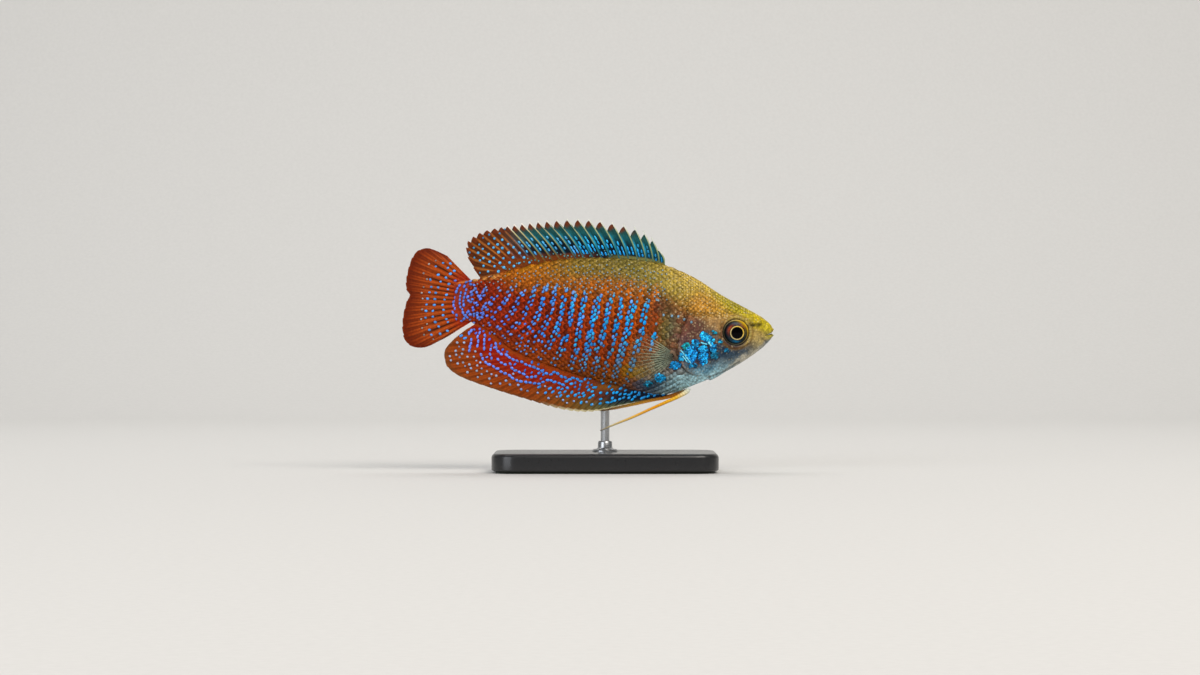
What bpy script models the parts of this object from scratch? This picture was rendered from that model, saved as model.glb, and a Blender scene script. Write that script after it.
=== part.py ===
"""A dwarf gourami, an adult male, as a life-size display model in a swimming pose.

The fish is divided as a person would name its parts: head, body, tail stalk, eyes and fins.
It is held over a flat base by one short rod, which enters the far side of the belly beside
the anal fin. +X points to the snout, +Y to the fish's left side and +Z up. The origin is under
the middle of the fish, on the floor. Sizes are millimetres until a mesh is made.
"""

import math

import bmesh
import bpy
from mathutils import Vector

# Driving dimensions
MM = 0.001
GAP = 0.3
TOTAL_LENGTH = 76.0
SNOUT_X = TOTAL_LENGTH / 2
AXIS_HEIGHT = 30.0

# The body is measured as distances behind the snout and heights above the axis line.
# Each row: distance, top, height of the widest place, bottom, half-width, and how sharp
# the back and the belly are, where 1 is an ellipse and more is a keel.
BODY = (
    (0.0, -0.75, -1.45, -2.15, 0.45, 1.00, 1.00),
    (0.4, -0.20, -1.45, -2.75, 0.95, 0.95, 1.00),
    (1.2, 0.50, -1.50, -3.60, 1.45, 0.90, 1.00),
    (2.5, 1.60, -1.50, -4.75, 2.05, 0.85, 1.00),
    (4.5, 2.72, -1.60, -6.25, 2.90, 0.85, 1.00),
    (7.4, 4.22, -1.80, -8.10, 3.75, 0.90, 1.05),
    (11.0, 6.20, -2.50, -10.10, 4.45, 1.00, 1.10),
    (15.0, 8.85, -3.20, -11.85, 5.00, 1.10, 1.10),
    (19.0, 10.95, -3.20, -13.35, 5.30, 1.15, 1.10),
    (23.0, 12.40, -2.40, -14.15, 5.40, 1.20, 1.15),
    (28.0, 13.25, -1.20, -13.25, 5.25, 1.20, 1.20),
    (36.0, 13.65, 0.40, -11.30, 4.70, 1.20, 1.25),
    (44.0, 13.20, 1.90, -8.85, 3.80, 1.20, 1.25),
    (51.0, 11.80, 3.20, -6.10, 2.90, 1.15, 1.20),
    (55.0, 10.75, 4.00, -3.85, 2.35, 1.10, 1.10),
    (58.5, 9.75, 4.60, -0.85, 1.80, 1.00, 1.00),
    (62.0, 9.15, 4.90, 0.65, 1.10, 0.90, 0.90),
)
SIDES_ROUND = 28
HEAD_LENGTH = 21.0
HEAD_RINGS = 24
HEAD_SWELL = 0.15
STALK_START = 56.0
STALK_END = 61.6
RING_STEP = 1.5

# The rear edge of the gill cover is an arc, and a curve runs on from it to the nape.
GILL_CENTRE = (13.0, -4.3)
GILL_RADII = (6.45, 6.9)
GILL_ARC = (-88.0, 40.0)
NAPE_BEND = (16.6, 2.2)
NAPE = (19.6, 14.5)

EYE_PLACE = (7.75, -1.5)
EYE_RADIUS = 2.8
EYE_DEPTH = 1.75
EYE_PROUD = 0.6

MOUTH_PLACE = (-0.6, -1.35)
MOUTH_LENGTH = 2.5
MOUTH_SLOPE = 20.0
MOUTH_OPENING = 0.24
LIP_FRONT = 0.38
LIP_CORNER = (2.2, 1.7)
LIP_RADIUS = 0.42
LOWER_LIP_SHARE = 0.88
NOSTRILS = ((2.95, 0.02, 0.28), (4.15, -0.12, 0.36))

# A fin is a sheet whose rays are ridges. Each row of a fin's table is one ray: its number,
# where its root is, and where its tip is, as distances behind the snout and heights.
MEMBRANE = 0.5
RIDGE_ROOT = 0.95
RIDGE_TIP = 0.6
DORSAL_RAYS = 27
DORSAL = (
    (1, 22.3, 23.1, 15.7),
    (2, 23.3, 24.8, 18.0),
    (4, 26.0, 28.4, 20.0),
    (8, 33.4, 37.6, 21.4),
    (12, 40.5, 46.2, 21.2),
    (16, 46.7, 52.9, 20.4),
    (19, 50.3, 57.0, 19.8),
    (21, 52.3, 60.1, 18.9),
    (23, 53.9, 62.5, 17.2),
    (24, 54.6, 62.9, 15.9),
    (25, 55.2, 62.6, 13.9),
    (27, 56.3, 59.7, 9.95),
)
ANAL_RAYS = 31
ANAL = (
    (1, 21.6, 22.9, -14.7),
    (3, 23.5, 25.8, -15.25),
    (6, 26.7, 30.5, -16.35),
    (10, 31.7, 36.9, -17.75),
    (14, 36.7, 42.7, -17.4),
    (18, 41.6, 49.6, -15.5),
    (22, 46.2, 57.6, -13.0),
    (25, 49.3, 64.0, -10.6),
    (27, 51.2, 66.7, -8.6),
    (28, 52.7, 67.3, -6.8),
    (29, 54.6, 67.2, -5.1),
    (30, 57.4, 65.6, -3.1),
    (31, 61.2, 62.9, -0.95),
)
CAUDAL_RAYS = 17
CAUDAL = (
    (1, 9.25, 66.8, 14.2),
    (2, 8.9, 70.3, 15.7),
    (3, 8.5, 72.6, 15.4),
    (4, 8.0, 74.0, 13.8),
    (6, 7.0, 75.1, 10.1),
    (8, 5.9, 75.2, 7.4),
    (9, 5.3, 74.5, 6.05),
    (10, 4.7, 75.1, 4.9),
    (12, 3.5, 75.9, 1.4),
    (14, 2.3, 75.8, -2.2),
    (15, 1.7, 74.6, -4.1),
    (16, 1.1, 71.5, -4.6),
    (17, 0.6, 66.6, -2.3),
)
FIN_ROWS = 5

PECTORAL_RAYS = 10
PECTORAL_PLACE = (20.6, -6.4)
PECTORAL_ROOT_HEIGHT = 2.2
PECTORAL_FAN = (27.0, -34.0)
PECTORAL_LENGTHS = (7.6, 9.5, 7.2)
PECTORAL_FLARE = 15.0
PECTORAL_ROOT_THICKNESS = 0.7

# Each feeler's points: distance behind the snout, offset to its side, height, radius
NEAR_FEELER = (
    (17.3, 0.80, -12.95, 0.45),
    (17.6, 0.90, -13.55, 0.50),
    (19.0, 1.15, -14.50, 0.45),
    (21.5, 1.40, -15.60, 0.40),
    (25.0, 1.50, -17.15, 0.35),
    (29.0, 1.55, -18.95, 0.30),
    (32.5, 1.55, -20.35, 0.25),
    (35.4, 1.50, -21.60, 0.12),
)
FAR_FEELER = (
    (17.3, 0.80, -12.95, 0.45),
    (17.6, 0.90, -13.55, 0.50),
    (19.0, 1.15, -14.35, 0.45),
    (21.5, 1.20, -15.15, 0.42),
    (25.0, 1.15, -15.85, 0.38),
    (29.0, 1.10, -16.75, 0.32),
    (32.5, 1.05, -17.35, 0.26),
    (35.4, 1.00, -17.75, 0.12),
)
FEELER_STEPS = 4

BASE_SIZE = (46.0, 28.0, 4.0)
BASE_CORNER = 5.0
BASE_EDGE = 0.6
ROD_PLACE = (34.4, 2.45)
ROD_RADIUS = 0.9
ROD_SUNK = 2.4
ROD_SEAT = 2.2


def finish(name, colour, roughness, metallic=0.0):
    """A material with the part's own colour, roughness and metal."""
    material = bpy.data.materials.new(name)
    material.use_nodes = True
    shader = material.node_tree.nodes["Principled BSDF"]
    shader.inputs["Base Color"].default_value = (*colour, 1.0)
    shader.inputs["Roughness"].default_value = roughness
    shader.inputs["Metallic"].default_value = metallic
    return material


def point(distance, side, height):
    """A place on the fish, from its distance behind the snout, side offset and height, in metres."""
    return Vector((SNOUT_X - distance, side, AXIS_HEIGHT + height)) * MM


def solid(name, points, faces, material=None):
    """An object made of one closed mesh, with its faces turned outwards."""
    mesh = bpy.data.meshes.new(name)
    mesh.from_pydata(points, [], faces)
    made = bmesh.new()
    made.from_mesh(mesh)
    bmesh.ops.recalc_face_normals(made, faces=made.faces)
    made.to_mesh(mesh)
    made.free()
    mesh.shade_smooth()
    mesh.set_sharp_from_angle(angle=math.radians(50))
    if material:
        mesh.materials.append(material)
    made_object = bpy.data.objects.new(name, mesh)
    bpy.context.scene.collection.objects.link(made_object)
    return made_object


def combine(target, tools, operation):
    """Applies one Boolean of these closed meshes to the target, and removes them."""
    group = bpy.data.collections.new("tools")
    bpy.context.scene.collection.children.link(group)
    for tool in tools:
        bpy.context.scene.collection.objects.unlink(tool)
        group.objects.link(tool)
    modifier = target.modifiers.new(operation, "BOOLEAN")
    modifier.operation = operation
    modifier.operand_type = "COLLECTION"
    modifier.collection = group
    modifier.solver = "EXACT"
    graph = bpy.context.evaluated_depsgraph_get()
    mesh = bpy.data.meshes.new_from_object(target.evaluated_get(graph))
    target.modifiers.clear()
    target.data = mesh
    for tool in tools:
        bpy.data.objects.remove(tool)
    bpy.data.collections.remove(group)
    keep_largest(target)


def keep_largest(target):
    """Leaves only the mesh's largest closed surface."""
    made = bmesh.new()
    made.from_mesh(target.data)
    seen, groups = set(), []
    for start in made.faces:
        if start in seen:
            continue
        seen.add(start)
        group, reach = [], [start]
        while reach:
            face = reach.pop()
            group.append(face)
            for edge in face.edges:
                for other in edge.link_faces:
                    if other not in seen:
                        seen.add(other)
                        reach.append(other)
        groups.append(group)
    groups.sort(key=lambda faces: sum(face.calc_area() for face in faces))
    loose = [face for group in groups[:-1] for face in group]
    bmesh.ops.delete(made, geom=loose, context="FACES")
    made.to_mesh(target.data)
    made.free()


def between(rows, at, column):
    """A column of a table at a value of its first column, on a smooth curve through the rows."""
    last = len(rows) - 1
    k = 0
    while k < last - 1 and rows[k + 1][0] < at:
        k += 1
    low, high = rows[k], rows[k + 1]
    before, after = rows[max(k - 1, 0)], rows[min(k + 2, last)]
    width = high[0] - low[0]
    slope_low = (high[column] - before[column]) / (high[0] - before[0])
    slope_high = (after[column] - low[column]) / (after[0] - low[0])
    t = min(max((at - low[0]) / width, 0.0), 1.0)
    return (
        low[column] * (1 + 2 * t) * (1 - t) ** 2
        + slope_low * width * t * (1 - t) ** 2
        + high[column] * t * t * (3 - 2 * t)
        + slope_high * width * t * t * (t - 1)
    )


def top(distance):
    """The height of the back."""
    return between(BODY, distance, 1)


def bottom(distance):
    """The height of the belly line."""
    return between(BODY, distance, 3)


def skin_point(distance, angle, swell=0.0):
    """A point of the skin, at an angle round the section from the left side over the back."""
    middle = between(BODY, distance, 2)
    half_width = between(BODY, distance, 4) + swell
    over = math.sin(angle) >= 0
    edge = top(distance) if over else bottom(distance)
    keel = between(BODY, distance, 5 if over else 6)
    across = math.cos(angle)
    side = math.copysign(abs(across) ** keel, across) * half_width
    return point(distance, side, middle + abs(edge - middle) * math.sin(angle))


def half_width_at(distance, height):
    """How far the skin is from the middle plane at a height."""
    middle = between(BODY, distance, 2)
    over = height >= middle
    edge = top(distance) if over else bottom(distance)
    share = min(abs((height - middle) / (edge - middle)), 1.0)
    keel = between(BODY, distance, 5 if over else 6)
    return between(BODY, distance, 4) * math.sqrt(1 - share * share) ** keel


def flesh(name, distances, material, swell=0.0):
    """A length of the body, as rings round the axis with a flat end at each side."""
    turn = 2 * math.pi / SIDES_ROUND
    points = [
        skin_point(distance, (k + 0.5) * turn, swell)
        for distance in distances
        for k in range(SIDES_ROUND)
    ]
    faces = []
    for ring in range(len(distances) - 1):
        start = ring * SIDES_ROUND
        for k in range(SIDES_ROUND):
            beside = (k + 1) % SIDES_ROUND
            faces.append(
                (
                    start + k,
                    start + beside,
                    start + SIDES_ROUND + beside,
                    start + SIDES_ROUND + k,
                )
            )
    faces.append(tuple(range(SIDES_ROUND)))
    faces.append(tuple(range(len(points) - SIDES_ROUND, len(points))))
    return solid(name, points, faces, material)


def prism(outline, half_depth):
    """A block with this side outline of distances and heights, as deep on both sides."""
    points = [point(d, s, h) for s in (-half_depth, half_depth) for d, h in outline]
    count = len(outline)
    faces = [tuple(range(count)), tuple(range(count, 2 * count))]
    for k in range(count):
        beside = (k + 1) % count
        faces.append((k, beside, count + beside, count + k))
    return solid("block", points, faces)


def gill_edge(clear):
    """The line from throat to nape behind the gill cover, moved back by a clearance."""
    low, high = GILL_ARC
    steps = 12
    line = []
    for k in range(steps + 1):
        angle = math.radians(low + (high - low) * k / steps)
        line.append(
            (
                GILL_CENTRE[0] + (GILL_RADII[0] + clear) * math.cos(angle),
                GILL_CENTRE[1] + (GILL_RADII[1] + clear) * math.sin(angle),
            )
        )
    throat = (line[0][0], -20.0)
    start = line[-1]
    bend = (NAPE_BEND[0] + clear, NAPE_BEND[1])
    end = (NAPE[0] + clear, NAPE[1])
    for k in range(1, steps + 1):
        t = k / steps
        shares = ((1 - t) ** 2, 2 * t * (1 - t), t * t)
        line.append(
            tuple(shares[0] * start[n] + shares[1] * bend[n] + shares[2] * end[n] for n in (0, 1))
        )
    return [throat, *line]


def ball(place, radii):
    """An ellipsoid, with its radii along X, Y and Z."""
    made = bmesh.new()
    bmesh.ops.create_uvsphere(made, u_segments=24, v_segments=12, radius=1.0)
    for vertex in made.verts:
        x, y, z = vertex.co
        vertex.co = place + Vector((x * radii[0], z * radii[1], y * radii[2])) * MM
    mesh = bpy.data.meshes.new("ball")
    made.to_mesh(mesh)
    made.free()
    points = [vertex.co.copy() for vertex in mesh.vertices]
    faces = [tuple(face.vertices) for face in mesh.polygons]
    bpy.data.meshes.remove(mesh)
    return points, faces


def tube(name, path, material=None, sides=8):
    """A round, tapered length through points that each hold a place and a radius."""
    points, faces = [], []
    for k, (place, radius) in enumerate(path):
        ahead = path[min(k + 1, len(path) - 1)][0] - path[max(k - 1, 0)][0]
        first = ahead.cross(Vector((0, 0, 1))).normalized()
        second = ahead.cross(first).normalized()
        for s in range(sides):
            angle = 2 * math.pi * s / sides
            out = first * math.cos(angle) + second * math.sin(angle)
            points.append(place + out * radius * MM)
    for k in range(len(path) - 1):
        for s in range(sides):
            beside = (s + 1) % sides
            start = k * sides
            faces.append(
                (start + s, start + beside, start + sides + beside, start + sides + s)
            )
    faces.append(tuple(range(sides)))
    faces.append(tuple(range(len(points) - sides, len(points))))
    return solid(name, points, faces, material)


def lip(over, radius):
    """One lip, from a corner of the mouth round the front to the other corner."""
    path = []
    steps = 10
    corner, half_width = LIP_CORNER
    if over < 0:
        half_width *= LOWER_LIP_SHARE
    for k in range(steps + 1):
        angle = math.pi * k / steps
        back = corner - (corner - LIP_FRONT) * math.sin(angle)
        droop = (back - MOUTH_PLACE[0]) * math.tan(math.radians(MOUTH_SLOPE))
        height = MOUTH_PLACE[1] - droop + over * radius * 1.1
        thick = radius * (0.65 + 0.35 * math.sin(angle))
        path.append((point(back, half_width * math.cos(angle), height), thick))
    return tube("lip", path)


def mouth_slit():
    """The gap between the lips, as a thin wedge that opens forwards."""
    run = MOUTH_LENGTH * math.cos(math.radians(MOUTH_SLOPE))
    drop = MOUTH_LENGTH * math.sin(math.radians(MOUTH_SLOPE))
    front, height = MOUTH_PLACE
    outline = (
        (front, height + MOUTH_OPENING),
        (front, height - MOUTH_OPENING),
        (front + run, height - drop - MOUTH_OPENING / 2),
        (front + run, height - drop + MOUTH_OPENING / 2),
    )
    return prism(outline, 3.0)


def eye_centre(side):
    """The middle of an eyeball, set so that it stands a little proud of the cheek."""
    distance, height = EYE_PLACE
    out = half_width_at(distance, height) + EYE_PROUD - EYE_DEPTH
    return point(distance, side * out, height)


def make_head(material):
    """The head, with lips, mouth line, nostrils and eye sockets, back to the gill cover's edge."""
    rear = 25.0
    distances = [rear * (k / HEAD_RINGS) ** 1.35 for k in range(HEAD_RINGS + 1)]
    head = flesh("head", distances, material, HEAD_SWELL)
    outline = [(-3.0, -20.0), *gill_edge(0.0), (-3.0, NAPE[1])]
    combine(head, [prism(outline, 10.0)], "INTERSECT")
    combine(head, [lip(1, LIP_RADIUS), lip(-1, LIP_RADIUS)], "UNION")
    cutters = [mouth_slit()]
    for side in (-1, 1):
        radii = (EYE_RADIUS + GAP, EYE_DEPTH + GAP, EYE_RADIUS + GAP)
        cutters.append(solid("socket", *ball(eye_centre(side), radii)))
        for distance, height, radius in NOSTRILS:
            out = half_width_at(distance, height) + HEAD_SWELL
            place = point(distance, side * out, height)
            cutters.append(solid("nostril", *ball(place, (radius, 0.45, radius * 0.8))))
    combine(head, cutters, "DIFFERENCE")
    return head


def make_body(material):
    """The trunk, from the gill cover to the tail stalk, with a seat for the stand's rod."""
    count = round((STALK_START - 13.0) / RING_STEP)
    distances = [13.0 + k * RING_STEP for k in range(count + 1)]
    distances[-1] = STALK_START - GAP
    body = flesh("body", distances, material)
    outline = [*gill_edge(GAP), (70.0, NAPE[1]), (70.0, -20.0)]
    combine(body, [prism(outline, 10.0)], "INTERSECT")
    combine(body, [rod_length("seat", ROD_RADIUS + GAP, 8.0, rod_top() + GAP)], "DIFFERENCE")
    return body


def rod_entry():
    """The height at which the rod's middle meets the skin of the belly."""
    distance, side = ROD_PLACE
    height = bottom(distance)
    while half_width_at(distance, height) < side:
        height += 0.05
    return height


def rod_top():
    """The height of the rod's upper end above the floor."""
    return AXIS_HEIGHT + rod_entry() + ROD_SUNK


def rod_length(name, radius, low, high, material=None):
    """A plain round length of the rod's line, between two heights above the floor."""
    distance, side = ROD_PLACE
    sides = 16
    points = [
        Vector(
            (
                SNOUT_X - distance + radius * math.cos(2 * math.pi * k / sides),
                side + radius * math.sin(2 * math.pi * k / sides),
                height,
            )
        )
        * MM
        for height in (low, high)
        for k in range(sides)
    ]
    faces = [tuple(range(sides)), tuple(range(sides, 2 * sides))]
    for k in range(sides):
        beside = (k + 1) % sides
        faces.append((k, beside, sides + beside, sides + k))
    return solid(name, points, faces, material)


def ray_columns(rays):
    """Where the sheet's columns are: on each ray and at two places in each membrane."""
    columns = []
    for ray in range(1, rays):
        columns += [ray, ray + 0.35, ray + 0.8]
    return [*columns, rays]


def notch(column, front, rear, rays):
    """The share of a ray's length that the margin reaches, less behind each spine tip."""
    depth = front + (rear - front) * (column - 1) / (rays - 1)
    return 1 - depth * (column % 1)


def ridge(column, share):
    """Half the sheet's thickness, more on a ray than between two."""
    if column % 1:
        return MEMBRANE / 2
    return (RIDGE_ROOT + (RIDGE_TIP - RIDGE_ROOT) * share) / 2


def sheet(name, columns, middle, across, half_thickness, material):
    """A fin as one closed sheet, its faces split into triangles alike on both sides."""
    wide, high = len(columns), FIN_ROWS + 1
    points = []
    for face in (1, -1):
        for column in columns:
            for row in range(high):
                share = row / FIN_ROWS
                out = across * face * half_thickness(column, share) * MM
                points.append(middle(column, share) + out)
    half = wide * high
    faces = []
    for c in range(wide - 1):
        for r in range(FIN_ROWS):
            a = c * high + r
            b, d, e = a + high, a + high + 1, a + 1
            faces += [(a, b, d), (a, d, e)]
            faces += [(half + a, half + d, half + b), (half + a, half + e, half + d)]
    rim = [c * high for c in range(wide)]
    rim += [(wide - 1) * high + r for r in range(1, high)]
    rim += [c * high + FIN_ROWS for c in reversed(range(wide - 1))]
    rim += [r for r in reversed(range(1, FIN_ROWS))]
    for k, a in enumerate(rim):
        b = rim[(k + 1) % len(rim)]
        faces += [(a, half + a, half + b), (a, half + b, b)]
    return solid(name, points, faces, material)


def sway(distance, share, reach, phase):
    """How far a thin fin bends out of the middle plane."""
    return reach * share**1.5 * math.sin(2 * math.pi * distance / 26.0 + phase)


def make_dorsal(material):
    """The dorsal fin, with its spines standing proud of the membrane's edge."""

    def middle(column, share):
        root = between(DORSAL, column, 1)
        tip, height = between(DORSAL, column, 2), between(DORSAL, column, 3)
        base = top(root) + GAP
        reach = share * notch(column, 0.26, 0.05, DORSAL_RAYS)
        bow = 0.5 * math.sin(math.pi * share)
        distance = root + (tip - root) * reach - bow
        return point(distance, sway(distance, share, 0.5, 0.4), base + (height - base) * reach)

    columns = ray_columns(DORSAL_RAYS)
    return sheet("dorsal_fin", columns, middle, Vector((0, 1, 0)), ridge, material)


def make_anal(material):
    """The anal fin, along the whole belly line from the vent to the tail stalk."""

    def middle(column, share):
        root = between(ANAL, column, 1)
        tip, height = between(ANAL, column, 2), between(ANAL, column, 3)
        base = bottom(root) - GAP
        reach = share * notch(column, 0.08, 0.03, ANAL_RAYS)
        distance = root + (tip - root) * reach
        return point(distance, sway(distance, share, 0.35, 2.0), base + (height - base) * reach)

    columns = ray_columns(ANAL_RAYS)
    return sheet("anal_fin", columns, middle, Vector((0, 1, 0)), ridge, material)


def make_caudal(material):
    """The tail fin, a shallow fork with round lobes."""

    def middle(column, share):
        root = STALK_END + GAP
        base = between(CAUDAL, column, 1)
        tip, height = between(CAUDAL, column, 2), between(CAUDAL, column, 3)
        reach = share * notch(column, 0.02, 0.02, CAUDAL_RAYS)
        distance = root + (tip - root) * reach
        return point(distance, sway(distance, share, 0.9, 3.4), base + (height - base) * reach)

    columns = ray_columns(CAUDAL_RAYS)
    return sheet("caudal_fin", columns, middle, Vector((0, 1, 0)), ridge, material)


def make_pectoral(side, name, material):
    """A pectoral fin, a small fan that stands off the flank behind the gill cover."""
    distance, height = PECTORAL_PLACE
    flare = math.radians(PECTORAL_FLARE)
    out = half_width_at(distance, height) + GAP + PECTORAL_ROOT_THICKNESS / 2
    short, long, low = PECTORAL_LENGTHS

    def middle(column, share):
        at = (column - 1) / (PECTORAL_RAYS - 1)
        angle = math.radians(PECTORAL_FAN[0] + (PECTORAL_FAN[1] - PECTORAL_FAN[0]) * at)
        edge = short + (low - short) * at
        length = edge + (long - (short + low) / 2) * math.sin(math.pi * at) ** 0.8
        reach = share * length * notch(column, 0.04, 0.04, PECTORAL_RAYS)
        back = reach * math.cos(angle)
        root_height = height + PECTORAL_ROOT_HEIGHT * (0.5 - at)
        return point(
            distance + back * math.cos(flare),
            side * (out + back * math.sin(flare)),
            root_height + reach * math.sin(angle),
        )

    def half_thickness(column, share):
        if column % 1:
            return MEMBRANE / 2
        return (PECTORAL_ROOT_THICKNESS + (RIDGE_TIP - PECTORAL_ROOT_THICKNESS) * share) / 2

    across = Vector((side * math.sin(flare), math.cos(flare), 0))
    columns = ray_columns(PECTORAL_RAYS)
    return sheet(name, columns, middle, across, half_thickness, material)


def make_feeler(name, side, rows, material):
    """A pelvic fin, which in this fish is one long thread."""
    rows = [(k, *row) for k, row in enumerate(rows)]
    path = []
    for step in range((len(rows) - 1) * FEELER_STEPS + 1):
        at = step / FEELER_STEPS
        distance, out, height, radius = (between(rows, at, c) for c in (1, 2, 3, 4))
        path.append((point(distance, side * out, height), radius))
    return tube(name, path, material)


def make_base(material):
    """The stand's flat base, with a seat for the rod."""
    length, width, thick = BASE_SIZE
    middle = SNOUT_X - ROD_PLACE[0]
    outline = []
    quarter = 4
    for corner in range(4):
        start = math.pi / 2 * corner
        reach_x = (length / 2 - BASE_CORNER) * (1 if corner in (0, 3) else -1)
        reach_y = (width / 2 - BASE_CORNER) * (1 if corner in (0, 1) else -1)
        for k in range(quarter + 1):
            angle = start + math.pi / 2 * k / quarter
            outline.append((reach_x, reach_y, math.cos(angle), math.sin(angle)))
    levels = ((0.0, BASE_CORNER), (thick - BASE_EDGE, BASE_CORNER), (thick, BASE_CORNER - BASE_EDGE))
    points = [
        Vector((middle + x + c * radius, y + s * radius, height)) * MM
        for height, radius in levels
        for x, y, c, s in outline
    ]
    count = len(outline)
    faces = [tuple(range(count)), tuple(range(2 * count, 3 * count))]
    for level in range(2):
        for k in range(count):
            beside = (k + 1) % count
            low = level * count
            faces.append((low + k, low + beside, low + count + beside, low + count + k))
    base = solid("stand_base", points, faces, material)
    seat = rod_length("seat", ROD_RADIUS + GAP, thick - ROD_SEAT - GAP, thick + 5.0)
    combine(base, [seat], "DIFFERENCE")
    return base


def main():
    for old in list(bpy.data.objects):
        bpy.data.objects.remove(old)
    make_head(finish("head_skin", (0.42, 0.33, 0.05), 0.4))
    make_body(finish("flank_skin", (0.45, 0.10, 0.01), 0.4))
    stalk = [STALK_START, 57.2, 58.5, 60.0, STALK_END]
    flesh("tail_stalk", stalk, finish("stalk_skin", (0.42, 0.04, 0.01), 0.4))
    eye_skin = finish("eye", (0.03, 0.02, 0.01), 0.1)
    for side, letter in ((1, "l"), (-1, "r")):
        radii = (EYE_RADIUS, EYE_DEPTH, EYE_RADIUS)
        solid(f"eye_{letter}", *ball(eye_centre(side), radii), eye_skin)
    make_dorsal(finish("dorsal_membrane", (0.05, 0.25, 0.35), 0.45))
    make_anal(finish("anal_membrane", (0.45, 0.07, 0.01), 0.45))
    make_caudal(finish("caudal_membrane", (0.45, 0.09, 0.01), 0.45))
    clear = finish("pectoral_membrane", (0.55, 0.5, 0.3), 0.4)
    make_pectoral(1, "pectoral_fin_l", clear)
    make_pectoral(-1, "pectoral_fin_r", clear)
    thread = finish("feeler", (0.8, 0.5, 0.08), 0.4)
    make_feeler("pelvic_feeler_r", -1, NEAR_FEELER, thread)
    make_feeler("pelvic_feeler_l", 1, FAR_FEELER, thread)
    make_base(finish("base_lacquer", (0.02, 0.02, 0.02), 0.35))
    steel = finish("rod_steel", (0.6, 0.6, 0.6), 0.3, 1.0)
    low = BASE_SIZE[2] - ROD_SEAT
    rod_length("stand_rod", ROD_RADIUS, low, rod_top(), steel)


main()
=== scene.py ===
"""The looks of a dwarf gourami, an adult male, as a life-size display model on its stand.

Lengths are millimetres until a mesh is made. A place on the fish is given as in the part's
source: its distance behind the snout, its offset to the fish's left, and its height over the
axis line. The fish swims to +X, so the photograph shows its right side, which faces -Y.
"""

import math

import bpy
import numpy as np
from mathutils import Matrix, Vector


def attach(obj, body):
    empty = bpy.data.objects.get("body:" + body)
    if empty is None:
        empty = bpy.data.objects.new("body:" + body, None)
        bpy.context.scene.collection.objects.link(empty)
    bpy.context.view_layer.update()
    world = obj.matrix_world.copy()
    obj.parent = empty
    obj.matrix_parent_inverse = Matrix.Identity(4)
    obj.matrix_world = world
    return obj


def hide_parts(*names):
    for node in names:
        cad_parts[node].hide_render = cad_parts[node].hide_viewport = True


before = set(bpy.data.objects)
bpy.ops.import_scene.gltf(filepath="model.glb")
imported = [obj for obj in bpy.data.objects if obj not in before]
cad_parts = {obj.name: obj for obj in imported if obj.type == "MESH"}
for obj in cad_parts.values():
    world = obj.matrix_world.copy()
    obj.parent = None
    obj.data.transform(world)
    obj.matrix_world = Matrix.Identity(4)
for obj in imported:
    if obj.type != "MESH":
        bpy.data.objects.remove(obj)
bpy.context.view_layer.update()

# Camera. It looks level and straight at the fish's right side, and takes in the photograph's
# whole frame, in which the fish is small and a little above the middle.
MM = 0.001
SNOUT_X = 38.0
AXIS_HEIGHT = 30.0
PIXEL = 0.205
FRAME_PIXELS = (1200.0, 675.0)
AXIS_PIXEL = (587.5, 325.0)
LENS = 100.0
FILM_WIDTH = 36.0


def place(points):
    """Places in the frame's metres, from distances behind the snout, offsets and heights."""
    points = np.asarray(points, float)
    return points * (-MM, MM, MM) + (SNOUT_X * MM, 0.0, AXIS_HEIGHT * MM)


camera_data = bpy.data.cameras.new("camera")
camera_data.lens = LENS
camera_data.sensor_width = FILM_WIDTH
camera_data.clip_start = 0.01
camera = bpy.data.objects.new("camera", camera_data)
bpy.context.scene.collection.objects.link(camera)
camera.location = (
    (FRAME_PIXELS[0] / 2 - AXIS_PIXEL[0]) * PIXEL * MM,
    -FRAME_PIXELS[0] * PIXEL * LENS / FILM_WIDTH * MM,
    (AXIS_HEIGHT + (AXIS_PIXEL[1] - FRAME_PIXELS[1] / 2) * PIXEL) * MM,
)
camera.rotation_euler = (math.radians(90), 0, 0)
bpy.context.scene.camera = camera


# Studio. A sheet of pale seamless paper runs under the stand and curves up behind it, and
# three softboxes light the model. The paper's faint tooth is all the pattern that it has.
PAPER_FRONT = -1900.0
PAPER_BEND = 420.0
PAPER_RADIUS = 260.0
PAPER_TOP = 1100.0
PAPER_WIDTH = 6400.0
PAPER_TOOTH = 1.2
BEND_STEPS = 24
LIGHT_TARGET = (0.0, 0.0, 30.0)
# Name, place, width and height, watts and colour of each softbox
SOFTBOXES = (
    ("key_light", (420.0, -620.0, 760.0), (760.0, 520.0), 7.0, "#fff8f0"),
    ("fill_light", (-640.0, -700.0, 300.0), (620.0, 620.0), 3.4, "#f4f8ff"),
    ("top_light", (-60.0, 330.0, 720.0), (700.0, 380.0), 2.8, "#ffffff"),
)
ROOM_LIGHT = 0.3


def linear(code):
    """An sRGB hex colour as linear red, green and blue."""
    parts = [int(code[k : k + 2], 16) / 255 for k in (1, 3, 5)]
    return tuple(p / 12.92 if p <= 0.04045 else ((p + 0.055) / 1.055) ** 2.4 for p in parts)


def add(tree, kind, inputs=(), **settings):
    """Adds a node, with its settings, and its inputs set to values or linked to outputs."""
    made = tree.nodes.new(kind)
    for name, value in settings.items():
        setattr(made, name, value)
    for key, value in dict(inputs).items():
        if isinstance(value, bpy.types.NodeSocket):
            tree.links.new(value, made.inputs[key])
        else:
            made.inputs[key].default_value = value
    return made


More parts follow.
